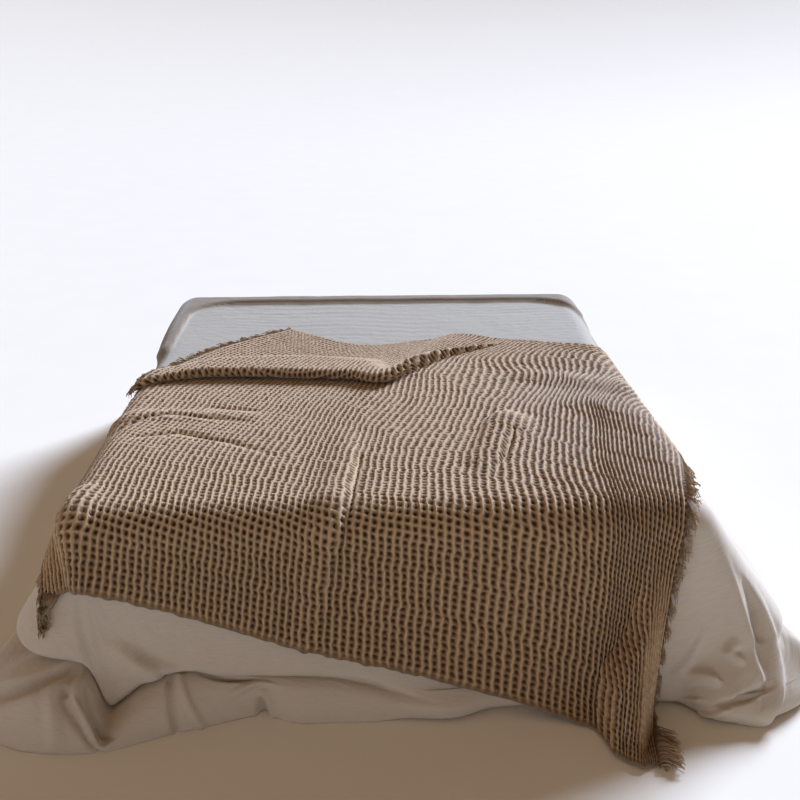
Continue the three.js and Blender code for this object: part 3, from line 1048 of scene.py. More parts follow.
@dataclass(frozen=True)
class PaleFloor(Finish):
    """Matt pale floor of the studio, nearly white, with the faintest mottling.

    Attributes:
        light: Its colour.
        mottle: The colour of its faint patches.
        patch: Size of the patches.
    """

    name: str = "matt_floor_paint"
    slot: str = ""
    light: str = "#e9e3d8"
    mottle: str = "#e5dfd4"
    patch: float = 300.0

    def dress(self, tree: bpy.types.NodeTree) -> bpy.types.Node:
        """Builds the nodes.

        Args:
            tree: The material's tree.

        Returns:
            The shader node.
        """
        place = add_node(tree, "ShaderNodeTexCoord", {})
        patches = add_node(
            tree,
            "ShaderNodeTexNoise",
            {"Vector": place.outputs["Object"], "Scale": 1 / (self.patch * MM), "Detail": 2.0},
        )
        colour = add_node(
            tree,
            "ShaderNodeMix",
            {0: patches.outputs["Fac"], MIX_A: linear(self.light), MIX_B: linear(self.mottle)},
            data_type="RGBA",
        )
        return add_node(
            tree,
            "ShaderNodeBsdfPrincipled",
            {"Base Color": colour.outputs[MIX_RESULT], "Roughness": 0.9, "Specular IOR Level": 0.1},
        )


@dataclass
class Throw:
    """The waffle-weave throw: one closed sheet whose upper face has every cell of the weave.

    Attributes:
        drape: How it lies.
        cells: Cells across and along.
        steps: Steps of the upper face in each cell, across and along.
        under: Height of the underside over the middle of the cloth.
        floor: Height of the pockets' floors.
        crest: Height of the ribs.
        wall: Height of the crosswise walls as a share of the ribs'.
        sunk: Share of the walls' height that is left where the cloth hangs or gathers, and of the bars'
            paleness, so that more painted shade lies on them there.
        gathered: Where across the cloth begins to gather, and where it is closest.
        hanging: Heights over the floor between which the cloth is taken to hang, and to lie.
        sharp: How much narrower the ribs are than plain waves.
        hem: Width of the flat hem.
        hem_fades: Shares of that width between which the weave begins.
        selvage: Width of the flat edge beside the fringe.
        sway: Most that a rib strays sideways.
        sway_runs: Lengths of the ribs' waves.
        sway_apart: Most by which a rib's waves start apart from its neighbours', in radians.
        sway_drift: Least and most width in which the waves fall a whole turn behind.
        steady: Width beside the fringed ends in which the ribs come to run straight.
        uneven: Share by which the cells differ in depth.
        ruffle: Height, length and reach of the waves along the hems.
        ruffle_drift: How far, in radians, and over what width those waves drift.
        scallop: Depth, length and reach of the foot hem's waves in the plane of the cloth.
        scallop_waves: For each of those waves its share of the depth and of the length, and how far,
            in radians, and over what width it drifts.
        scallop_fades: Least share of the depth, and the width over which the waves come and go.
        seed: Seed of what is uneven.
    """

    drape: Drape
    cells: tuple[int, int] = CELLS
    steps: tuple[int, int] = (4, 2)
    under: float = -5.5
    floor: float = -4.5
    crest: float = 7.5
    wall: float = 0.95
    sunk: float = 0.5
    gathered: tuple[float, float] = (900.0, 1500.0)
    hanging: tuple[float, float] = (400.0, 505.0)
    sharp: float = 1.4
    hem: float = 10.0
    hem_fades: tuple[float, float] = (0.6, 1.4)
    selvage: float = 8.0
    sway: float = 4.0
    sway_runs: tuple[float, ...] = (190.0, 107.0, 63.0, 36.0)
    sway_apart: float = 1.6
    sway_drift: tuple[float, float] = (300.0, 500.0)
    steady: float = 40.0
    uneven: float = 0.15
    ruffle: tuple[float, float, float] = (3.0, 53.0, 40.0)
    ruffle_drift: tuple[float, float] = (1.3, 130.0)
    scallop: tuple[float, float, float] = (3.0, 73.0, 40.0)
    scallop_waves: tuple[tuple[float, ...], ...] = ((0.7, 1.0, 2.6, 110.0), (0.5, 0.43, 3.0, 140.0))
    scallop_fades: tuple[float, float] = (0.25, 190.0)
    seed: int = 7

    def stray(self, across: Array, length: Array) -> Array:
        """How far each rib strays sideways.

        Args:
            across: Distances across from the left end.
            length: Lengths along from the foot hem.

        Returns:
            The sideways shifts.
        """
        draw = np.random.default_rng(self.seed)
        pitch = self.drape.wide / self.cells[0]
        rib = np.round(across / pitch).astype(int)
        shift = np.zeros(across.shape)
        for run in self.sway_runs:
            own = draw.uniform(0, self.sway_apart, self.cells[0] + 1)[rib]
            drift = across / draw.uniform(*self.sway_drift)
            shift += np.sin(2 * math.pi * (length / run + drift) + own)
        inside = np.minimum(across, self.drape.wide - across)
        return shift * self.sway / len(self.sway_runs) * smoothstep(inside, 0, self.steady)

    def relief(self, across: Array, length: Array) -> Array:
        """Relief of the weave, from 0 in the pockets to 1 on the ribs.

        Args:
            across: Distances across from the left end.
            length: Lengths along from the foot hem.

        Returns:
            The relief.
        """
        draw = np.random.default_rng(self.seed + 1)
        wide, long = self.drape.wide, self.drape.long
        u = across / wide * self.cells[0]
        v = length / long * self.cells[1]
        rib = (0.5 + 0.5 * np.cos(2 * math.pi * u)) ** self.sharp
        high = self.wall * self.bars(across, length)
        wall = (0.5 + 0.5 * np.cos(2 * math.pi * v)) ** self.sharp * high
        depth = draw.uniform(1 - self.uneven, 1 + self.uneven, (self.cells[1] + 1, self.cells[0] + 1))
        cell = depth[np.floor(v).astype(int), np.floor(u).astype(int)]
        weave = 1 - (1 - rib) * (1 - wall) * cell
        flat = 0.5
        return flat + (weave - flat) * self.woven(across, length)

    def bars(self, across: Array, length: Array) -> Array:
        """How much the walls across the ribs stand up, 1 where the cloth lies flat and open.

        Args:
            across: Distances across from the left end.
            length: Lengths along from the foot hem.

        Returns:
            The shares.
        """
        level = self.drape.middle(across, length)[:, 2]
        drawn = np.maximum(1 - smoothstep(level, *self.hanging), smoothstep(across, *self.gathered))
        return 1 - (1 - self.sunk) * drawn

    def woven(self, across: Array, length: Array) -> Array:
        """How much of the weave shows, from 0 on the hems and the edges beside the fringe to 1.

        Args:
            across: Distances across from the left end.
            length: Lengths along from the foot hem.

        Returns:
            The shares.
        """
        from_hem = np.minimum(length, self.drape.long - length)
        band = smoothstep(from_hem, self.hem * self.hem_fades[0], self.hem * self.hem_fades[1])
        return band * smoothstep(np.minimum(across, self.drape.wide - across), 0, self.selvage)

    def ruffled(self, across: Array, length: Array) -> Array:
        """Height of the small waves along the foot hem and the head hem.

        Args:
            across: Distances across from the left end.
            length: Lengths along from the foot hem.

        Returns:
            The heights.
        """
        height, run, reach = self.ruffle
        drift, over = self.ruffle_drift
        near = np.minimum(length, self.drape.long - length)
        wave = np.sin(2 * math.pi * across / run + drift * np.sin(across / over))
        return height * (0.5 + 0.5 * wave) * np.maximum(1 - near / reach, 0) ** 2

    def scalloped(self, across: Array, length: Array) -> Array:
        """How far the foot hem's waves draw each place along the cloth.

        Args:
            across: Distances across from the left end.
            length: Lengths along from the foot hem.

        Returns:
            The shifts, towards the head.
        """
        deep, run, reach = self.scallop
        wave = np.zeros(across.shape)
        for share, part, drift, over in self.scallop_waves:
            wave += share * np.sin(2 * math.pi * across / (part * run) + drift * np.sin(across / over))
        least, over = self.scallop_fades
        wave *= least + (1 - least) * np.sin(across / over) ** 2
        return deep * wave * np.maximum(1 - length / reach, 0) ** 2

    def build(self) -> bpy.types.Object:
        """Weaves the sheet, drapes it and dresses it.

        Returns:
            The piece.
        """
        steps = (self.cells[0] * self.steps[0], self.cells[1] * self.steps[1])
        mesh = layered_sheet("throw_cloth", steps, self.steps)
        x, y, layer = vertex_array(mesh).T
        across = x * self.drape.wide
        length = y * self.drape.long
        relief = self.relief(across, length)
        upper = layer > 0.5
        height = np.where(upper, self.floor + (self.crest - self.floor) * relief, self.under)
        height = height + self.ruffled(across, length)
        drawn = length + self.scalloped(across, length)
        shape_mesh(mesh, self.drape.on_cloth(across + self.stray(across, length), drawn, height))
        map_cloth(mesh, across, length)
        mark(mesh, "woven", self.woven(across, length) * upper)
        # These shares also set how much painted shade the bars carry in the finish.
        mark(mesh, "bars", self.bars(across, length))
        return place_piece("throw_cloth", mesh, WaffleCotton(), ("throw",))


class End(Enum):
    """The throw's two fringed ends, by the way that points out from them."""

    LEFT = -1
    RIGHT = 1


@dataclass(frozen=True)
class Tassel:
    """The thick bunch of yarns at the foot corner of an end.

    Attributes:
        yarns: Number of yarns.
        root: Stretch of the end that they come from.
        inset: Stretch of the foot hem that they come from.
        gather: Share by which their roots' spread closes towards the tips.
        long: Their length.
        heading: The way they run, in degrees from straight out, towards the foot.
        belly: Radius of the bunch where it is thickest.
        tip: Radius that its tips keep to.
        turns: Turns of its twist.
        yarn: Radius of a yarn at its root.
        lengths: Least and most length of a yarn, as shares.
        swell: Stretch and start of the bunch's swelling, as shares of half a wave.
        inner: Least share of the bunch's section at which a yarn runs.
        opens: Share of the length by which the bunch is open.
        flat: Height of the bunch as a share of its width.
        raised: How far it stands over its roots, as a share of its radius.
        lift: Height of its roots over the cloth's middle.
    """

    yarns: int
    root: float
    inset: float
    gather: float
    long: float
    heading: float
    belly: float
    tip: float
    turns: float
    yarn: float
    lengths: tuple[float, float] = (0.8, 1.08)
    swell: tuple[float, float] = (0.8, 0.15)
    inner: float = 0.15
    opens: float = 0.3
    flat: float = 0.6
    raised: float = 0.5
    lift: float = 2.0


TASSELS = {
    End.LEFT: Tassel(18, 40, 78, 0.85, 92, 74, 26, 5, 1.3, 7.0),
    End.RIGHT: Tassel(120, 100, 12, 0.3, 132, -10, 24, 34, 0.15, 2.4),
}


@dataclass
class Fringe:
    """One end's fringe: locks of loosely twisted yarn ends, and a thick tassel at the foot corner.

    Attributes:
        drape: How the throw lies.
        end: Which end it is on.
        locks: Number of locks.
        strands: Yarns in a lock.
        rings: Shares of a yarn's length that its sections stand at.
        sides: Sides of a yarn's section.
        length: Length of a lock.
        varies: Share by which the lengths differ.
        strand_varies: Least and most length of a yarn, as shares of its lock's.
        jitter: Share of their spacing by which the locks are out of place.
        skew: Spread of the locks' lean, for each unit out.
        curl: Spread of the yarns' curl, as a share of their length.
        yarn: Radius of a yarn at its root.
        taper: Share of that radius that is lost towards the tip.
        waist: Radius of the twisted part of a lock.
        fray: Radius that the yarns spread to at the tip.
        fray_varies: Least and most of that, as shares.
        opens: Shares of the length between which a lock frays.
        pinch: Share of a lock's radius at its root, what the pinch behind it takes off, and how many
            pinches would fit the length.
        flat: Height of a lock as a share of its width.
        rooted: How far inside the cloth's edge the yarns start.
        lift: Height of their roots over the cloth's middle.
        lowest: Lowest that they run, over the cloth's middle.
        off_floor: Lowest that they run over the floor.
        turns: Turns of the twist.
        sag: Height of the tips over the roots.
        sagged: Share of the length where the sag is whole.
        lean: How far the locks that hang lean to the foot for each unit out.
        hangs: Distances from the foot corner between which that lean ends.
        seed: Seed of what is uneven.
    """

    drape: Drape
    end: End
    locks: int = 110
    strands: int = 7
    rings: tuple[float, ...] = (0.0, 0.18, 0.4, 0.6, 0.8, 1.0)
    sides: int = 3
    length: float = 42.0
    varies: float = 0.3
    strand_varies: tuple[float, float] = (0.7, 1.1)
    jitter: float = 0.2
    skew: float = 0.3
    curl: float = 0.14
    yarn: float = 2.6
    taper: float = 0.45
    waist: float = 5.0
    fray: float = 12.0
    fray_varies: tuple[float, float] = (0.7, 1.3)
    opens: tuple[float, float] = (0.45, 1.0)
    pinch: tuple[float, float, float] = (1.3, 0.5, 1.6)
    flat: float = 0.55
    rooted: float = 3.0
    lift: float = 1.0
    lowest: float = -8.0
    off_floor: float = 0.5
    turns: float = 0.7
    sag: float = -6.0
    sagged: float = 0.8
    lean: float = 0.4
    hangs: tuple[float, float] = (500.0, 1000.0)
    seed: int = 11

    def yarns(self) -> tuple[Array, Array, Array, Array]:
        """Middle lines of all the yarns on the flat cloth.

        Returns:
            For each yarn and ring, how far out it is, its place along the end, and its height, and for
            each yarn its radius.
        """
        draw = np.random.default_rng(self.seed + self.end.value)
        share = np.array(self.rings)
        pitch = self.drape.long / self.locks
        root, pinched, pinches = self.pinch
        lines = []
        for lock in range(self.locks):
            middle = (lock + 0.5 + draw.uniform(-self.jitter, self.jitter)) * pitch
            long = self.length * (1 + draw.uniform(-self.varies, self.varies))
            down = 1 - smoothstep(middle, *self.hangs)
            lean = draw.normal(0, self.skew) - self.lean * down
            spread = self.fray * draw.uniform(*self.fray_varies)
            for strand in range(self.strands):
                own = long * draw.uniform(*self.strand_varies)
                spin = 2 * math.pi * (strand / self.strands + self.turns * share)
                radius = self.waist + (spread - self.waist) * smoothstep(share, *self.opens)
                radius = radius * (root - pinched * np.sin(math.pi * np.minimum(share * pinches, 1)))
                curl = draw.normal(0, self.curl) * own * share**2
                along = middle + lean * own * share + curl + radius * np.cos(spin)
                fall = self.lift + self.sag * smoothstep(share, 0.0, self.sagged)
                lines.append((own * share - self.rooted, along, fall + self.flat * radius * np.sin(spin)))
        tassel = self.tassel(draw)
        thick = np.array([self.yarn] * len(lines) + [TASSELS[self.end].yarn] * len(tassel))
        out, along, height = (np.array(part) for part in zip(*lines, *tassel))
        return out, along, np.maximum(height, self.lowest), thick

    def tassel(self, draw: np.random.Generator) -> list[tuple[Array, Array, Array]]:
        """Middle lines of the yarns in the tassel at the foot corner.

        Args:
            draw: Where chance is drawn from.

        Returns:
            For each yarn, how far out its rings are, their places along the end, and their heights.
        """
        bunch = TASSELS[self.end]
        share = np.array(self.rings)
        opened = smoothstep(share, 0.0, bunch.opens)
        heading = math.radians(bunch.heading)
        lines = []
        for yarn in range(bunch.yarns):
            own = bunch.long * draw.uniform(*bunch.lengths)
            spin = 2 * math.pi * (draw.uniform() + bunch.turns * share)
            full = np.sin(math.pi * np.clip(share * bunch.swell[0] + bunch.swell[1], 0.0, 1.0))
            radius = bunch.tip + (bunch.belly - bunch.tip) * full
            radius = radius * math.sqrt(draw.uniform(bunch.inner, 1.0))
            aside = radius * np.cos(spin)
            start = (yarn + 0.5) / bunch.yarns
            spread = 1 - bunch.gather * share
            along = bunch.root * start * spread - own * share * math.sin(heading) + aside * math.cos(heading)
            out = own * share * math.cos(heading) + aside * math.sin(heading) * opened
            deep = bunch.flat * radius * (bunch.raised + np.sin(spin)) * opened
            lines.append((out - bunch.inset * (1 - start) * spread, along, bunch.lift + deep))
        return lines

    def build(self) -> bpy.types.Object:
        """Makes the yarns as tubes on the draped cloth and dresses them.

        Returns:
            The piece.
        """
        name = f"fringe_{self.end.name.lower()}"
        out, along, height, radius = self.yarns()
        count, rings = out.shape
        turn = 2 * math.pi * np.arange(self.sides) / self.sides
        thick = radius[:, None, None] * (1 - self.taper * np.array(self.rings))[None, :, None]
        shape = (count, rings, self.sides)
        edge = self.drape.wide if self.end is End.RIGHT else 0.0
        across = np.broadcast_to((edge + self.end.value * out)[:, :, None], shape)
        length = along[:, :, None] + thick * np.cos(turn)
        level = height[:, :, None] + thick * np.sin(turn)
        points = self.drape.on_cloth(across.ravel(), length.ravel(), level.ravel())
        points[:, 2] = np.maximum(points[:, 2], self.off_floor)
        number = np.arange(count * rings * self.sides).reshape(shape)
        following = np.roll(number, -1, axis=2)
        walls = np.stack([number[:, :-1], following[:, :-1], following[:, 1:], number[:, 1:]], axis=-1)
        caps = np.concatenate([number[:, 0, ::-1], number[:, -1]])
        mesh = bpy.data.meshes.new(name)
        mesh.from_pydata(points * MM, [], [*walls.reshape(-1, 4).tolist(), *caps.tolist()])
        bm = bmesh.new()
        bm.from_mesh(mesh)
        bmesh.ops.recalc_face_normals(bm, faces=bm.faces)
        bm.to_mesh(mesh)
        bm.free()
        mesh.shade_smooth()
        map_cloth(mesh, np.full(points.shape[0], edge), length.ravel())
        # The yarns are painted darker at their roots and paler towards their tips: painted shade and painted
        # light.
        pale = np.sqrt(np.array(self.rings))
        mark(mesh, "woven", np.broadcast_to(pale[None, :, None], shape).ravel())
        return place_piece(f"{name}_yarns", mesh, WaffleCotton(), (name,))


@dataclass(frozen=True)
class HemRow:
    """The duvet's hem at one place round the bed.

    Attributes:
        place: Distance round from the middle of the foot, right positive.
        spill: How far the hem spreads past the plain slope.
        lip: Height of the upper layer's lower edge, where it overhangs the hem on the floor.
        tuck: How far the hem is drawn in under that edge.
        bulge: How far the upper layer swells out over it.
        drop: How far under that edge the hem's own top is.
    """

    place: float
    spill: float
    lip: float
    tuck: float
    bulge: float
    drop: float = 0.0


# The duvet's hem, from the left side at the head round the foot to the right side at the head
HEM = (
    HemRow(-3060, 20, 120, 0, 0),
    HemRow(-1700, 40, 130, 8, 6, 30),
    HemRow(-1250, 60, 150, 24, 20, 70),
    HemRow(-1064, 92, 168, 36, 30, 80),
    HemRow(-1000, 108, 168, 40, 32, 50),
    HemRow(-934, 126, 162, 42, 30, 12),
    HemRow(-857, 135, 158, 44, 22, 0),
    HemRow(-802, 133, 154, 44, 16),
    HemRow(-762, 131, 138, 40, 14),
    HemRow(-740, 130, 104, 36, 11),
    HemRow(-722, 129, 56, 32, 9),
    HemRow(-708, 127, 38, 30, 8),
    HemRow(-690, 122, 46, 30, 8),
    HemRow(-668, 114, 62, 30, 9),
    HemRow(-626, 98, 92, 30, 10),
    HemRow(-549, 66, 117, 30, 10),
    HemRow(-492, 48, 118, 28, 10),
    HemRow(-444, 34, 108, 30, 10),
    HemRow(-338, 4, 103, 24, 8),
    HemRow(-240, 38, 99, 26, 7),
    HemRow(-141, 38, 92, 20, 4),
    HemRow(0, 38, 65, 8, 2),
    HemRow(150, 38, 45, 0, 0),
    HemRow(260, 0, 45, 0, 0),
    HemRow(715, 0, 60, 0, 0),
    HemRow(785, 72, 100, 0, 4),
    HemRow(840, 84, 115, 0, 6),
    HemRow(940, 50, 122, 0, 6),
    HemRow(1000, 28, 138, 12, 10),
    HemRow(1030, -8, 144, 22, 12),
    HemRow(1064, -42, 146, 28, 14),
    HemRow(1130, -24, 144, 28, 14),
    HemRow(1250, -4, 140, 26, 14),
    HemRow(1400, 16, 130, 18, 10),
    HemRow(1700, 36, 110, 8, 4),
    HemRow(3060, 20, 110, 0, 0),
)
# Folds of the hanging duvet, by the place round the hem and the run over the lip or down the lower layer
HANG_FOLDS = (
    # Near left, the upper layer: a ridge, the valley over it, and a soft hollow
    Fold(((-701, 158), (-668, 122), (-628, 64), (-595, 26)), (5, 16, 18, 12), 16, 46),
    Fold(((-652, 112), (-603, 66), (-543, 27), (-495, 14)), (-4, -14, -12, -2), 34, 16),
    Fold(((-793, 160), (-764, 80), (-742, 40)), (-3, -7, -3), 36, 36),
    # Near left, the lower layer: two lobes and the valley between, creases beside a strip
    Fold(((-915, -112), (-850, -72), (-807, -34), (-770, -28)), (-22, -28, -22, -6), 28, 28),
    Fold(((-885, -145), (-840, -101), (-816, -72)), (11, 18, 7), 34, 34),
    Fold(((-811, -79), (-797, -125), (-790, -175)), (7, 15, 10), 22, 22),
    Fold(((-783, -81), (-757, -128), (-731, -163), (-709, -195)), (-14, -16, -13, -10), 12, 20),
    Fold(((-766, -44), (-774, -87), (-740, -126), (-706, -165)), (9, 17, 17, 12), 16, 16),
    Fold(((-745, -61), (-717, -90), (-687, -140)), (-8, -22, -8), 16, 12),
    # Left of the middle: a flat pleat, a hollow under the lip, and a notch in the hem
    Fold(((-561, -30), (-543, -190)), (-12, -14), 24, 8),
    Fold(((-535, -30), (-512, -116), (-481, -198)), (9, 11, 9), 12, 14),
    Fold(((-470, -15), (-408, -32), (-362, -45)), (-6, -24, -14), 20, 30),
    Fold(((-405, -115), (-386, -100), (-342, -65), (-300, -75)), (4, 13, 15, 4), 22, 22),
    Fold(((-337, -150), (-334, -198)), (-14, -24), 18, 18),
    Fold(((-328, -110), (-308, -190)), (9, 9), 14, 14),
    # Near right: an overlapping fold, the pocket beside it, a long ridge and small creases
    Fold(((935, 260), (918, 142), (909, 50), (882, -20), (862, -60)), (0, 10, 20, 20, 4), 12, 64),
    Fold(((962, 165), (952, 105), (934, 50)), (-8, -24, -14), 20, 20),
    Fold(((1000, 150), (970, 30), (905, -60), (864, -126), (855, -198)), (0, 14, 18, 19, 15), 10, 46),
    Fold(((866, 48), (846, 32), (858, 16)), (9, 18, 12), 18, 18),
    Fold(((788, -64), (835, -55), (880, -46)), (-8, -26, -14), 10, 18),
    Fold(((738, 24), (792, -5)), (10, 14), 14, 24),
    Fold(((763, -142), (792, -88)), (11, 14), 14, 14),
    Fold(((729, -84), (752, -60)), (8, 11), 14, 14),
    Fold(((789, 96), (712, 40)), (2, 10), 34, 16),
)


@dataclass(frozen=True)
class Wrinkles:
    """One set of fine wrinkles across the field at the head.

    Attributes:
        run: Their spacing.
        bend: Width over which they bend.
        bend_from: Where that bend starts, in radians.
        quiver_from: Where their quick bend starts, in radians.
        fade: Width over which they come and go.
        fade_from: Where that starts, in radians.
    """

    run: float
    bend: float
    bend_from: float
    quiver_from: float
    fade: float
    fade_from: float


WRINKLES = (
    Wrinkles(61, 190, 0, 0, 240, 0),
    Wrinkles(43, 250, 2.1, 1, 200, 1.7),
    Wrinkles(29, 310, 4.2, 2, 160, 3.4),
)


@dataclass
class Duvet:
    """The filled linen duvet: its flat top, the sides that hang from it, and the hem spread on the floor.

    Attributes:
        bed: Its outer form.
        levels: Steps from the top's edge down to the hem.
        across: Steps across the top.
        across_at: Share of those steps, and share of the half width, where they turn coarser.
        along: Steps along the top.
        along_at: Shares of those steps and the distances along that they reach.
        skip: Outer steps for each step of the inner face.
        arc: Share of the levels that round the edge.
        lip_at: Share of the levels down to the lip.
        crowd: How much closer the levels are near the lip and the floor.
        corner_turn: Hem length that a radian of corner counts for.
        spill_full: Height below which the spill is whole.
        spread_over: How far over the lip the spill starts.
        lip_round: Round of the lip.
        bulge_reach: How far up the bulge over the lip reaches.
        tuck_whole: Tuck from which the hem under the lip is a layer of its own.
        puff: Fullness of that layer's round, 1 for an ellipse and less for a fuller one.
        lobe: Length that stands for that layer where its folds are placed.
        hem_roll: Round of the hem at the floor.
        filling: Thickness on the top, and where it hangs.
        filling_turns: Shares of the way down between which the one turns to the other.
        hang_length: Length that the way down from the top's edge has in the weave's map.
        head_round: Round of its edge at the head.
        crumple: Depth and size of its shallow crumples.
        crumple_ridges: Roughness, step in size, number of sizes, offset and gain of their ridges.
        crumple_peak: Value of the ridges where the crumples are deepest.
        rim: Height of the rim that goes round the smooth field at the head.
        rim_rises: Distances outside that field between which the rim rises.
        rim_box: Left, right and far edges of that field.
        rim_corner: Radius of its corners.
        rim_starts: Distances along the bed between which the rim and the wrinkles start.
        tone_starts: Distances along the bed between which the head's cooler white and its painted shade
            start.
        rim_tone: Distances outside the field between which its white turns to the rim's painted shade.
        rim_heights: Heights between which the rim's painted shade comes in, so that it stays off the sides.
        wrinkle: Depth of the field's fine wrinkles.
        wrinkle_bends: How far they bend, slowly and quickly.
        wrinkle_quiver: Width over which they bend quickly.
        wrinkle_slant: Distance along over which their coming and going is drawn aside.
        wrinkle_ends: Distances outside the field between which they end.
    """

    bed: BedShape
    levels: int = 90
    across: int = 150
    across_at: tuple[float, float] = (0.58, -0.1)
    along: int = 120
    along_at: tuple[tuple[float, ...], tuple[float, ...]] = (
        (0.0, 0.25, 0.5, 1.0),
        (0.0, 350.0, 1210.0, 1990.0),
    )
    skip: int = 2
    arc: float = 0.12
    lip_at: float = 0.52
    crowd: float = 1.35
    corner_turn: float = 200.0
    spill_full: float = 40.0
    spread_over: float = 40.0
    lip_round: float = 30.0
    bulge_reach: float = 190.0
    tuck_whole: float = 14.0
    puff: float = 0.85
    lobe: float = 200.0
    hem_roll: float = 45.0
    filling: tuple[float, float] = (33.0, 75.0)
    filling_turns: tuple[float, float] = (0.1, 0.5)
    hang_length: float = 400.0
    head_round: float = 16.0
    crumple: tuple[float, float] = (5.0, 260.0)
    crumple_ridges: tuple[float, float, int, float, float] = (1.0, 2.1, 3, 1.0, 2.0)
    crumple_peak: float = 3.0
    rim: float = 18.0
    rim_rises: tuple[float, float] = (-4.0, 26.0)
    rim_box: tuple[float, float, float] = (-775.0, 830.0, 940.0)
    rim_corner: float = 190.0
    rim_starts: tuple[float, float] = (1230.0, 1330.0)
    tone_starts: tuple[float, float] = (980.0, 1200.0)
    rim_tone: tuple[float, float] = (-2.0, 10.0)
    rim_heights: tuple[float, float] = (330.0, 470.0)
    wrinkle: float = 2.2
    wrinkle_bends: tuple[float, float] = (22.0, 9.0)
    wrinkle_quiver: float = 71.0
    wrinkle_slant: float = 310.0
    wrinkle_ends: tuple[float, float] = (-40.0, 0.0)

    def profile(self, place: Array, way_x: Array, level: Array) -> tuple[Array, Array, Array]:
        """Section of the hanging duvet: a smooth fall, or an upper layer over a round lower one.

        Args:
            place: Places round the hem.
            way_x: X of the way that points out there.
            level: Shares of the way down from the top's edge.

        Returns:
            The distances out past the flat top, the heights, and the runs over the lip or, below nought,
            down the lower layer.
        """
        turn = math.pi / 2 - self.bed.flare(way_x)
        edge_height = self.bed.top - self.bed.edge * (1 - np.cos(turn))
        round_share = np.clip(level / self.arc, 0.0, 1.0) * turn
        places = [row.place for row in HEM]
        spill = through(places, [row.spill for row in HEM], place)
        lip = through(places, [row.lip for row in HEM], place)
        tuck = through(places, [row.tuck for row in HEM], place)
        bulge = through(places, [row.bulge for row in HEM], place)
        drop = through(places, [row.drop for row in HEM], place)
        upper = np.clip((level - self.arc) / (self.lip_at - self.arc), 0.0, 1.0)
        lower = np.clip((level - self.lip_at) / (1 - self.lip_at), 0.0, 1.0)
        over = level <= self.lip_at
        hangs = lip + (edge_height - lip) * (1 - upper) ** self.crowd
        above = hangs - lip

        falls = np.where(over, hangs, lip * (1 - lower) ** self.crowd)
        spread = spill * (1 - smoothstep(falls, self.spill_full, lip + self.spread_over))
        under = np.maximum(self.hem_roll - falls, 0.0)
        roll = self.hem_roll - np.sqrt(self.hem_roll**2 - under**2)
        smooth_out = (edge_height - falls) / np.tan(turn) + spread - roll

        near = np.maximum(self.lip_round - above, 0.0)
        turned = self.lip_round - np.sqrt(self.lip_round**2 - near**2)
        swell = bulge * (1 - smoothstep(above, self.lip_round, self.bulge_reach))
        upper_out = (edge_height - hangs) / np.tan(turn) + swell - turned
        crease = (edge_height - lip) / np.tan(turn) - tuck
        hem = edge_height / np.tan(turn) + spill - self.hem_roll / 2
        lower_out = crease + (hem - crease) * np.sin(lower * math.pi / 2) ** self.puff
        lower_height = (lip - drop) * np.maximum(np.cos(lower * math.pi / 2), 0.0) ** self.puff

        layered = smoothstep(tuck, 0.0, self.tuck_whole)
        out = smooth_out + (np.where(over, upper_out, lower_out) - smooth_out) * layered
        out = out + self.bed.edge * np.sin(turn)
        height = falls + (np.where(over, hangs, lower_height) - falls) * layered
        rounded = level < self.arc
        out = np.where(rounded, self.bed.edge * np.sin(round_share), out)
        height = np.where(rounded, self.bed.top - self.bed.edge * (1 - np.cos(round_share)), height)
        return out, height, np.where(over, above, -self.lobe * lower)

    def from_rim(self, points: Array) -> Array:
        """How far each point is outside the smooth field that the rim at the head goes round.

        Args:
            points: The points.

        Returns:
            The distances, below nought inside the field.
        """
        left, right, far = self.rim_box
        from_side = np.maximum(left - points[:, 0], points[:, 0] - right) + self.rim_corner
        from_far = points[:, 1] - far + self.rim_corner
        outside = np.hypot(np.maximum(from_side, 0.0), np.maximum(from_far, 0.0))
        return outside + np.minimum(np.maximum(from_side, from_far), 0.0) - self.rim_corner

    def head_lift(self, points: Array, along: Array) -> Array:
        """Height of the rim round the head's field and of the fine wrinkles that cross the field.

        Args:
            points: Points of the plain surface.
            along: Their distances along the bed.

        Returns:
            The heights.
        """
        starts = smoothstep(along, *self.rim_starts)
        from_rim = self.from_rim(points)
        rim = self.rim * smoothstep(from_rim, *self.rim_rises)
        x, y = points[:, 0], points[:, 1]
        slow, quick = self.wrinkle_bends
        waves = np.zeros(x.shape)
        for row in WRINKLES:
            bent = y + slow * np.sin(x / row.bend + row.bend_from)
            bent = bent + quick * np.sin(x / self.wrinkle_quiver + row.quiver_from)
            fades = 0.5 + 0.5 * np.sin(x / row.fade + y / self.wrinkle_slant + row.fade_from)
            waves += fades * (np.sin(2 * math.pi * bent / row.run) - 1)
        inside = 1 - smoothstep(from_rim, *self.wrinkle_ends)
        return starts * (rim + self.wrinkle / len(WRINKLES) * waves * inside)

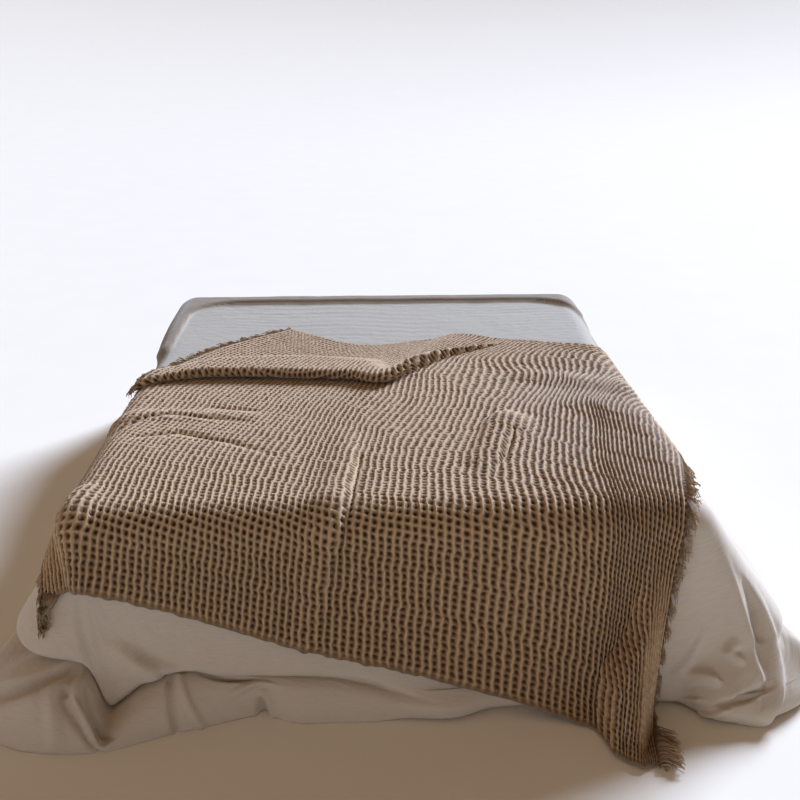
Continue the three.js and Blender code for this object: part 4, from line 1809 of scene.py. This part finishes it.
    def surface(self, x: Array, y: Array) -> tuple[Array, ...]:
        """Plain outer surface at shares of the grid's width and length.

        Args:
            x: Shares across, from the left hem to the right hem.
            y: Shares along, from the foot hem to the head.

        Returns:
            The points, their places round the hem, their runs, their levels and their distances along.
        """
        column = x * (2 * self.levels + self.across)
        row = y * (self.levels + self.along)
        left = np.clip((self.levels - column) / self.levels, 0.0, 1.0)
        right = np.clip((column - self.levels - self.across) / self.levels, 0.0, 1.0)
        side = np.maximum(left, right)
        foot = np.clip((self.levels - row) / self.levels, 0.0, 1.0)
        sign = np.where(left > right, -1.0, 1.0)
        ahead = np.clip((row - self.levels) / self.along, 0.0, 1.0)
        along = through(*self.along_at, ahead) * (self.bed.head - self.bed.foot) / self.along_at[1][-1]
        half = self.bed.flat_half(along)
        turn_at, turn_x = self.across_at
        spot = np.clip((column - self.levels) / self.across, 0.0, 1.0)
        top_x = half * through([0.0, turn_at, 1.0], [-1.0, turn_x, 1.0], spot)
        level = np.maximum(side, foot)
        less = np.minimum(side, foot) / np.maximum(level, TINY)
        quarter = math.pi / 4
        angle = np.where(side < foot, quarter * less, 2 * quarter - quarter * less)
        angle = np.where(level > 0, angle, 0.0)
        way_x = np.where(side > 0, sign * np.sin(angle), 0.0)
        way_y = np.where(foot > 0, -np.cos(angle), 0.0)
        round_place = sign * (self.bed.half + angle * self.corner_turn + along)
        place = np.where(side > 0, round_place, top_x)
        out, height, run = self.profile(place, way_x, level)
        points = np.stack([top_x + way_x * out, self.bed.foot + along + way_y * out, height], axis=1)
        return points, place, run, level, along

    def normals(self, x: Array, y: Array) -> Array:
        """Normals of the plain surface, from its points on either side.

        Args:
            x: Shares across.
            y: Shares along.

        Returns:
            The normals.
        """
        # A quarter of a step of the grid
        step = 0.25 / (2 * self.levels + self.across)
        over = self.surface(np.minimum(x + step, 1), y)[0] - self.surface(np.maximum(x - step, 0), y)[0]
        on = self.surface(x, np.minimum(y + step, 1))[0] - self.surface(x, np.maximum(y - step, 0))[0]
        normal = np.cross(over, on)
        return normal / np.maximum(np.linalg.norm(normal, axis=1), TINY)[:, None]

    def crumples(self, points: Array) -> Array:
        """Depth of the shallow crumples, which lie below the plain surface.

        Args:
            points: Points of the plain surface.

        Returns:
            The depths, below nought.
        """
        depth, size = self.crumple
        ridges = self.crumple_ridges
        values = [noise.ridged_multi_fractal(Vector(point) / size, *ridges) for point in points]
        return -depth * np.clip(np.array(values) / self.crumple_peak, 0.0, 1.0)

    def build(self) -> bpy.types.Object:
        """Shapes the duvet's outer and inner faces and dresses it.

        Returns:
            The piece.
        """
        steps = (2 * self.levels + self.across, self.levels + self.along)
        mesh = layered_sheet("duvet_cover", steps, (self.skip, self.skip))
        x, y, layer = vertex_array(mesh).T
        outer = layer > 0.5
        points, place, run, level, along = self.surface(x, y)
        from_head = self.bed.head - self.bed.foot - along
        near = np.maximum(self.head_round - from_head, 0.0)
        edge = self.head_round - np.sqrt(self.head_round**2 - near**2)
        on_top, hung = self.filling
        thick = on_top + (hung - on_top) * smoothstep(level, *self.filling_turns)
        lift = np.where(outer, -edge, edge - thick)
        hanging = (level > 0) & outer
        lift[hanging] += folded(HANG_FOLDS, place[hanging], run[hanging])
        lift[outer] += self.crumples(points[outer])
        flat = outer & (level <= self.arc)
        lift[flat] += self.head_lift(points[flat], along[flat])
        shaped = points + self.normals(x, y) * lift[:, None]
        shaped[:, 2] = np.maximum(shaped[:, 2], 0.0)
        shape_mesh(mesh, shaped)
        down = level * self.hang_length
        map_cloth(mesh, points[:, 0] + np.sign(place) * down, along - down)
        starts = smoothstep(along, *self.tone_starts)
        outside = smoothstep(self.from_rim(points), *self.rim_tone)
        # The field's cooler white is also painted darker as shade on the head end.
        mark(mesh, "head_sheet_and_shade", starts * (1 - outside))
        # The rim's darker tone is painted shade on the rim, kept off the sides.
        mark(mesh, "head_rim_shade", starts * outside * smoothstep(points[:, 2], *self.rim_heights))
        piece = place_piece("duvet_cover", mesh, WashedLinen(), ("duvet",))
        return piece


@dataclass
class Mattress:
    """The mattress under the duvet, with a rounded pad and piping round its two edges.

    Attributes:
        corner: Rounding of its upright edges.
        edge: Rounding of its upper and lower edges.
        piping: Radius of the piping.
        segments: Steps of each rounding.
        facing: Upward share of a normal up to which a face is upright, and from which it is level.
        seam: Upward shares of the normals between which the piping runs.
    """

    corner: float = 90.0
    edge: float = 30.0
    piping: float = 5.0
    segments: int = 5
    facing: tuple[float, float] = (0.1, 0.9)
    seam: tuple[float, float] = (0.6, 0.8)

    def build(self) -> bpy.types.Object:
        """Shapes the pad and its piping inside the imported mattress.

        Returns:
            The piece.
        """
        low, high = (np.array(corner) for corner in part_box("mattress"))
        bm = bmesh.new()
        place = Matrix.Translation((low + high) / 2) @ Matrix.Diagonal((*(high - low), 1.0))
        bmesh.ops.create_cube(bm, size=1.0, matrix=place)
        upright = [e for e in bm.edges if abs(e.verts[0].co.z - e.verts[1].co.z) > MM]
        options = {"affect": "EDGES", "profile": 0.5, "material": -1, "segments": self.segments}
        bmesh.ops.bevel(bm, geom=upright, offset=self.corner * MM, offset_type="OFFSET", **options)
        side, top = self.facing
        facing = {e: [abs(f.normal.z) for f in e.link_faces] for e in bm.edges}
        rims = [e for e, ways in facing.items() if min(ways) < side and max(ways) > top]
        bmesh.ops.bevel(bm, geom=rims, offset=self.edge * MM, offset_type="OFFSET", **options)
        bm.normal_update()
        seams = [f for f in bm.faces if self.seam[0] < abs(f.normal.z) < self.seam[1]]
        bmesh.ops.inset_region(bm, faces=seams, thickness=MM, depth=self.piping * MM, use_even_offset=True)
        mesh = bpy.data.meshes.new("mattress_pad")
        bm.to_mesh(mesh)
        bm.free()
        mesh.shade_smooth()
        piece = place_piece("mattress_pad", mesh, CottonTicking(), ("mattress",))
        return piece


class Lamp(Enum):
    """The studio's soft lights: the way to each, how wide it looks in degrees, strength and colour."""

    KEY = ((0.54, 0.62, 0.42), 20.0, 9.0, "#d6e5ff")
    SKY = ((-0.4, -0.1, 0.9), 100.0, 0.52, "#ffd6ac")


@dataclass
class Studio:
    """Pale floor, soft lights and the camera.

    Attributes:
        eye: Where the camera stands.
        pitch: How far it looks down, in degrees.
        yaw: How far it is turned to +X, in degrees.
        lens: Focal length, in millimetres.
        sensor: Width of the sensor, in millimetres.
        floor: How far the floor is level, and how far it reaches, in metres.
        dish: Radius of the slow upward curve past the level part, in metres.
        rings: Rings of that curve.
        spokes: Steps round it.
        air: Colour of the light from all round.
        glow: Strength of that light.
    """

    eye: tuple[float, float, float] = (-0.07, -3.22, 1.63)
    pitch: float = 20.7
    yaw: float = 2.2
    lens: float = 45.0
    sensor: float = 36.0
    floor: tuple[float, float] = (10.0, 130.0)
    dish: float = 200.0
    rings: int = 30
    spokes: int = 96
    air: str = "#ffdcb8"
    glow: float = 0.08

    def lay_floor(self) -> None:
        """Lays a level floor that curves up slowly far away, so that no horizon shows."""
        level, far = self.floor
        bm = bmesh.new()
        runs = [level + (far - level) * ring / self.rings for ring in range(self.rings + 1)]
        verts = [bm.verts.new((run, 0.0, (run - level) ** 2 / (2 * self.dish))) for run in runs]
        edges = [bm.edges.new(pair) for pair in zip(verts, verts[1:])]
        bmesh.ops.spin(
            bm,
            geom=[*verts, *edges],
            axis=(0.0, 0.0, 1.0),
            cent=(0.0, 0.0, 0.0),
            angle=2 * math.pi,
            steps=self.spokes,
            use_merge=True,
        )
        inner = [edge for edge in bm.edges if edge.is_boundary and edge.verts[0].co.z < MM]
        bmesh.ops.contextual_create(bm, geom=inner)
        bmesh.ops.recalc_face_normals(bm, faces=bm.faces)
        mesh = bpy.data.meshes.new("studio_floor")
        bm.to_mesh(mesh)
        bm.free()
        mesh.shade_smooth()
        mesh.materials.append(PaleFloor().material())
        floor = bpy.data.objects.new("studio_floor", mesh)
        bpy.context.scene.collection.objects.link(floor)

    def build(self) -> None:
        """Sets up the floor, the light from all round, the lamps and the camera."""
        scene = bpy.context.scene
        scene.view_settings.view_transform = "Standard"
        self.lay_floor()
        world = bpy.data.worlds.new("studio_air")
        world.use_nodes = True
        world.node_tree.nodes["Background"].inputs["Color"].default_value = linear(self.air)
        world.node_tree.nodes["Background"].inputs["Strength"].default_value = self.glow
        scene.world = world
        for lamp in Lamp:
            way, width, strength, colour = lamp.value
            light = bpy.data.lights.new(lamp.name.lower(), "SUN")
            light.angle = math.radians(width)
            light.energy = strength
            light.color = linear(colour)[:3]
            holder = bpy.data.objects.new(lamp.name.lower(), light)
            holder.rotation_euler = Vector(way).to_track_quat("Z", "Y").to_euler()
            scene.collection.objects.link(holder)
        lens = bpy.data.cameras.new("photo_view")
        lens.lens = self.lens
        lens.sensor_width = self.sensor
        camera = bpy.data.objects.new("photo_view", lens)
        camera.location = self.eye
        camera.rotation_euler = (math.radians(90 - self.pitch), 0.0, math.radians(-self.yaw))
        scene.collection.objects.link(camera)
        scene.camera = camera


def main() -> None:
    """Builds the studio and every piece in order."""
    logging.basicConfig(level=logging.INFO, format="%(message)s")
    Studio().build()
    bed = BedShape.from_frame()
    drape = Drape(bed)
    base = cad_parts["base"]
    base.data.materials.clear()
    base.data.materials.append(SawnTimber().material())
    LOG.info("base: packed solid with its timber finish")
    Mattress().build()
    Duvet(bed).build()
    fringes = [Fringe(drape, end).build() for end in End]
    cloth = Throw(drape).build()


if __name__ == "__main__":
    main()
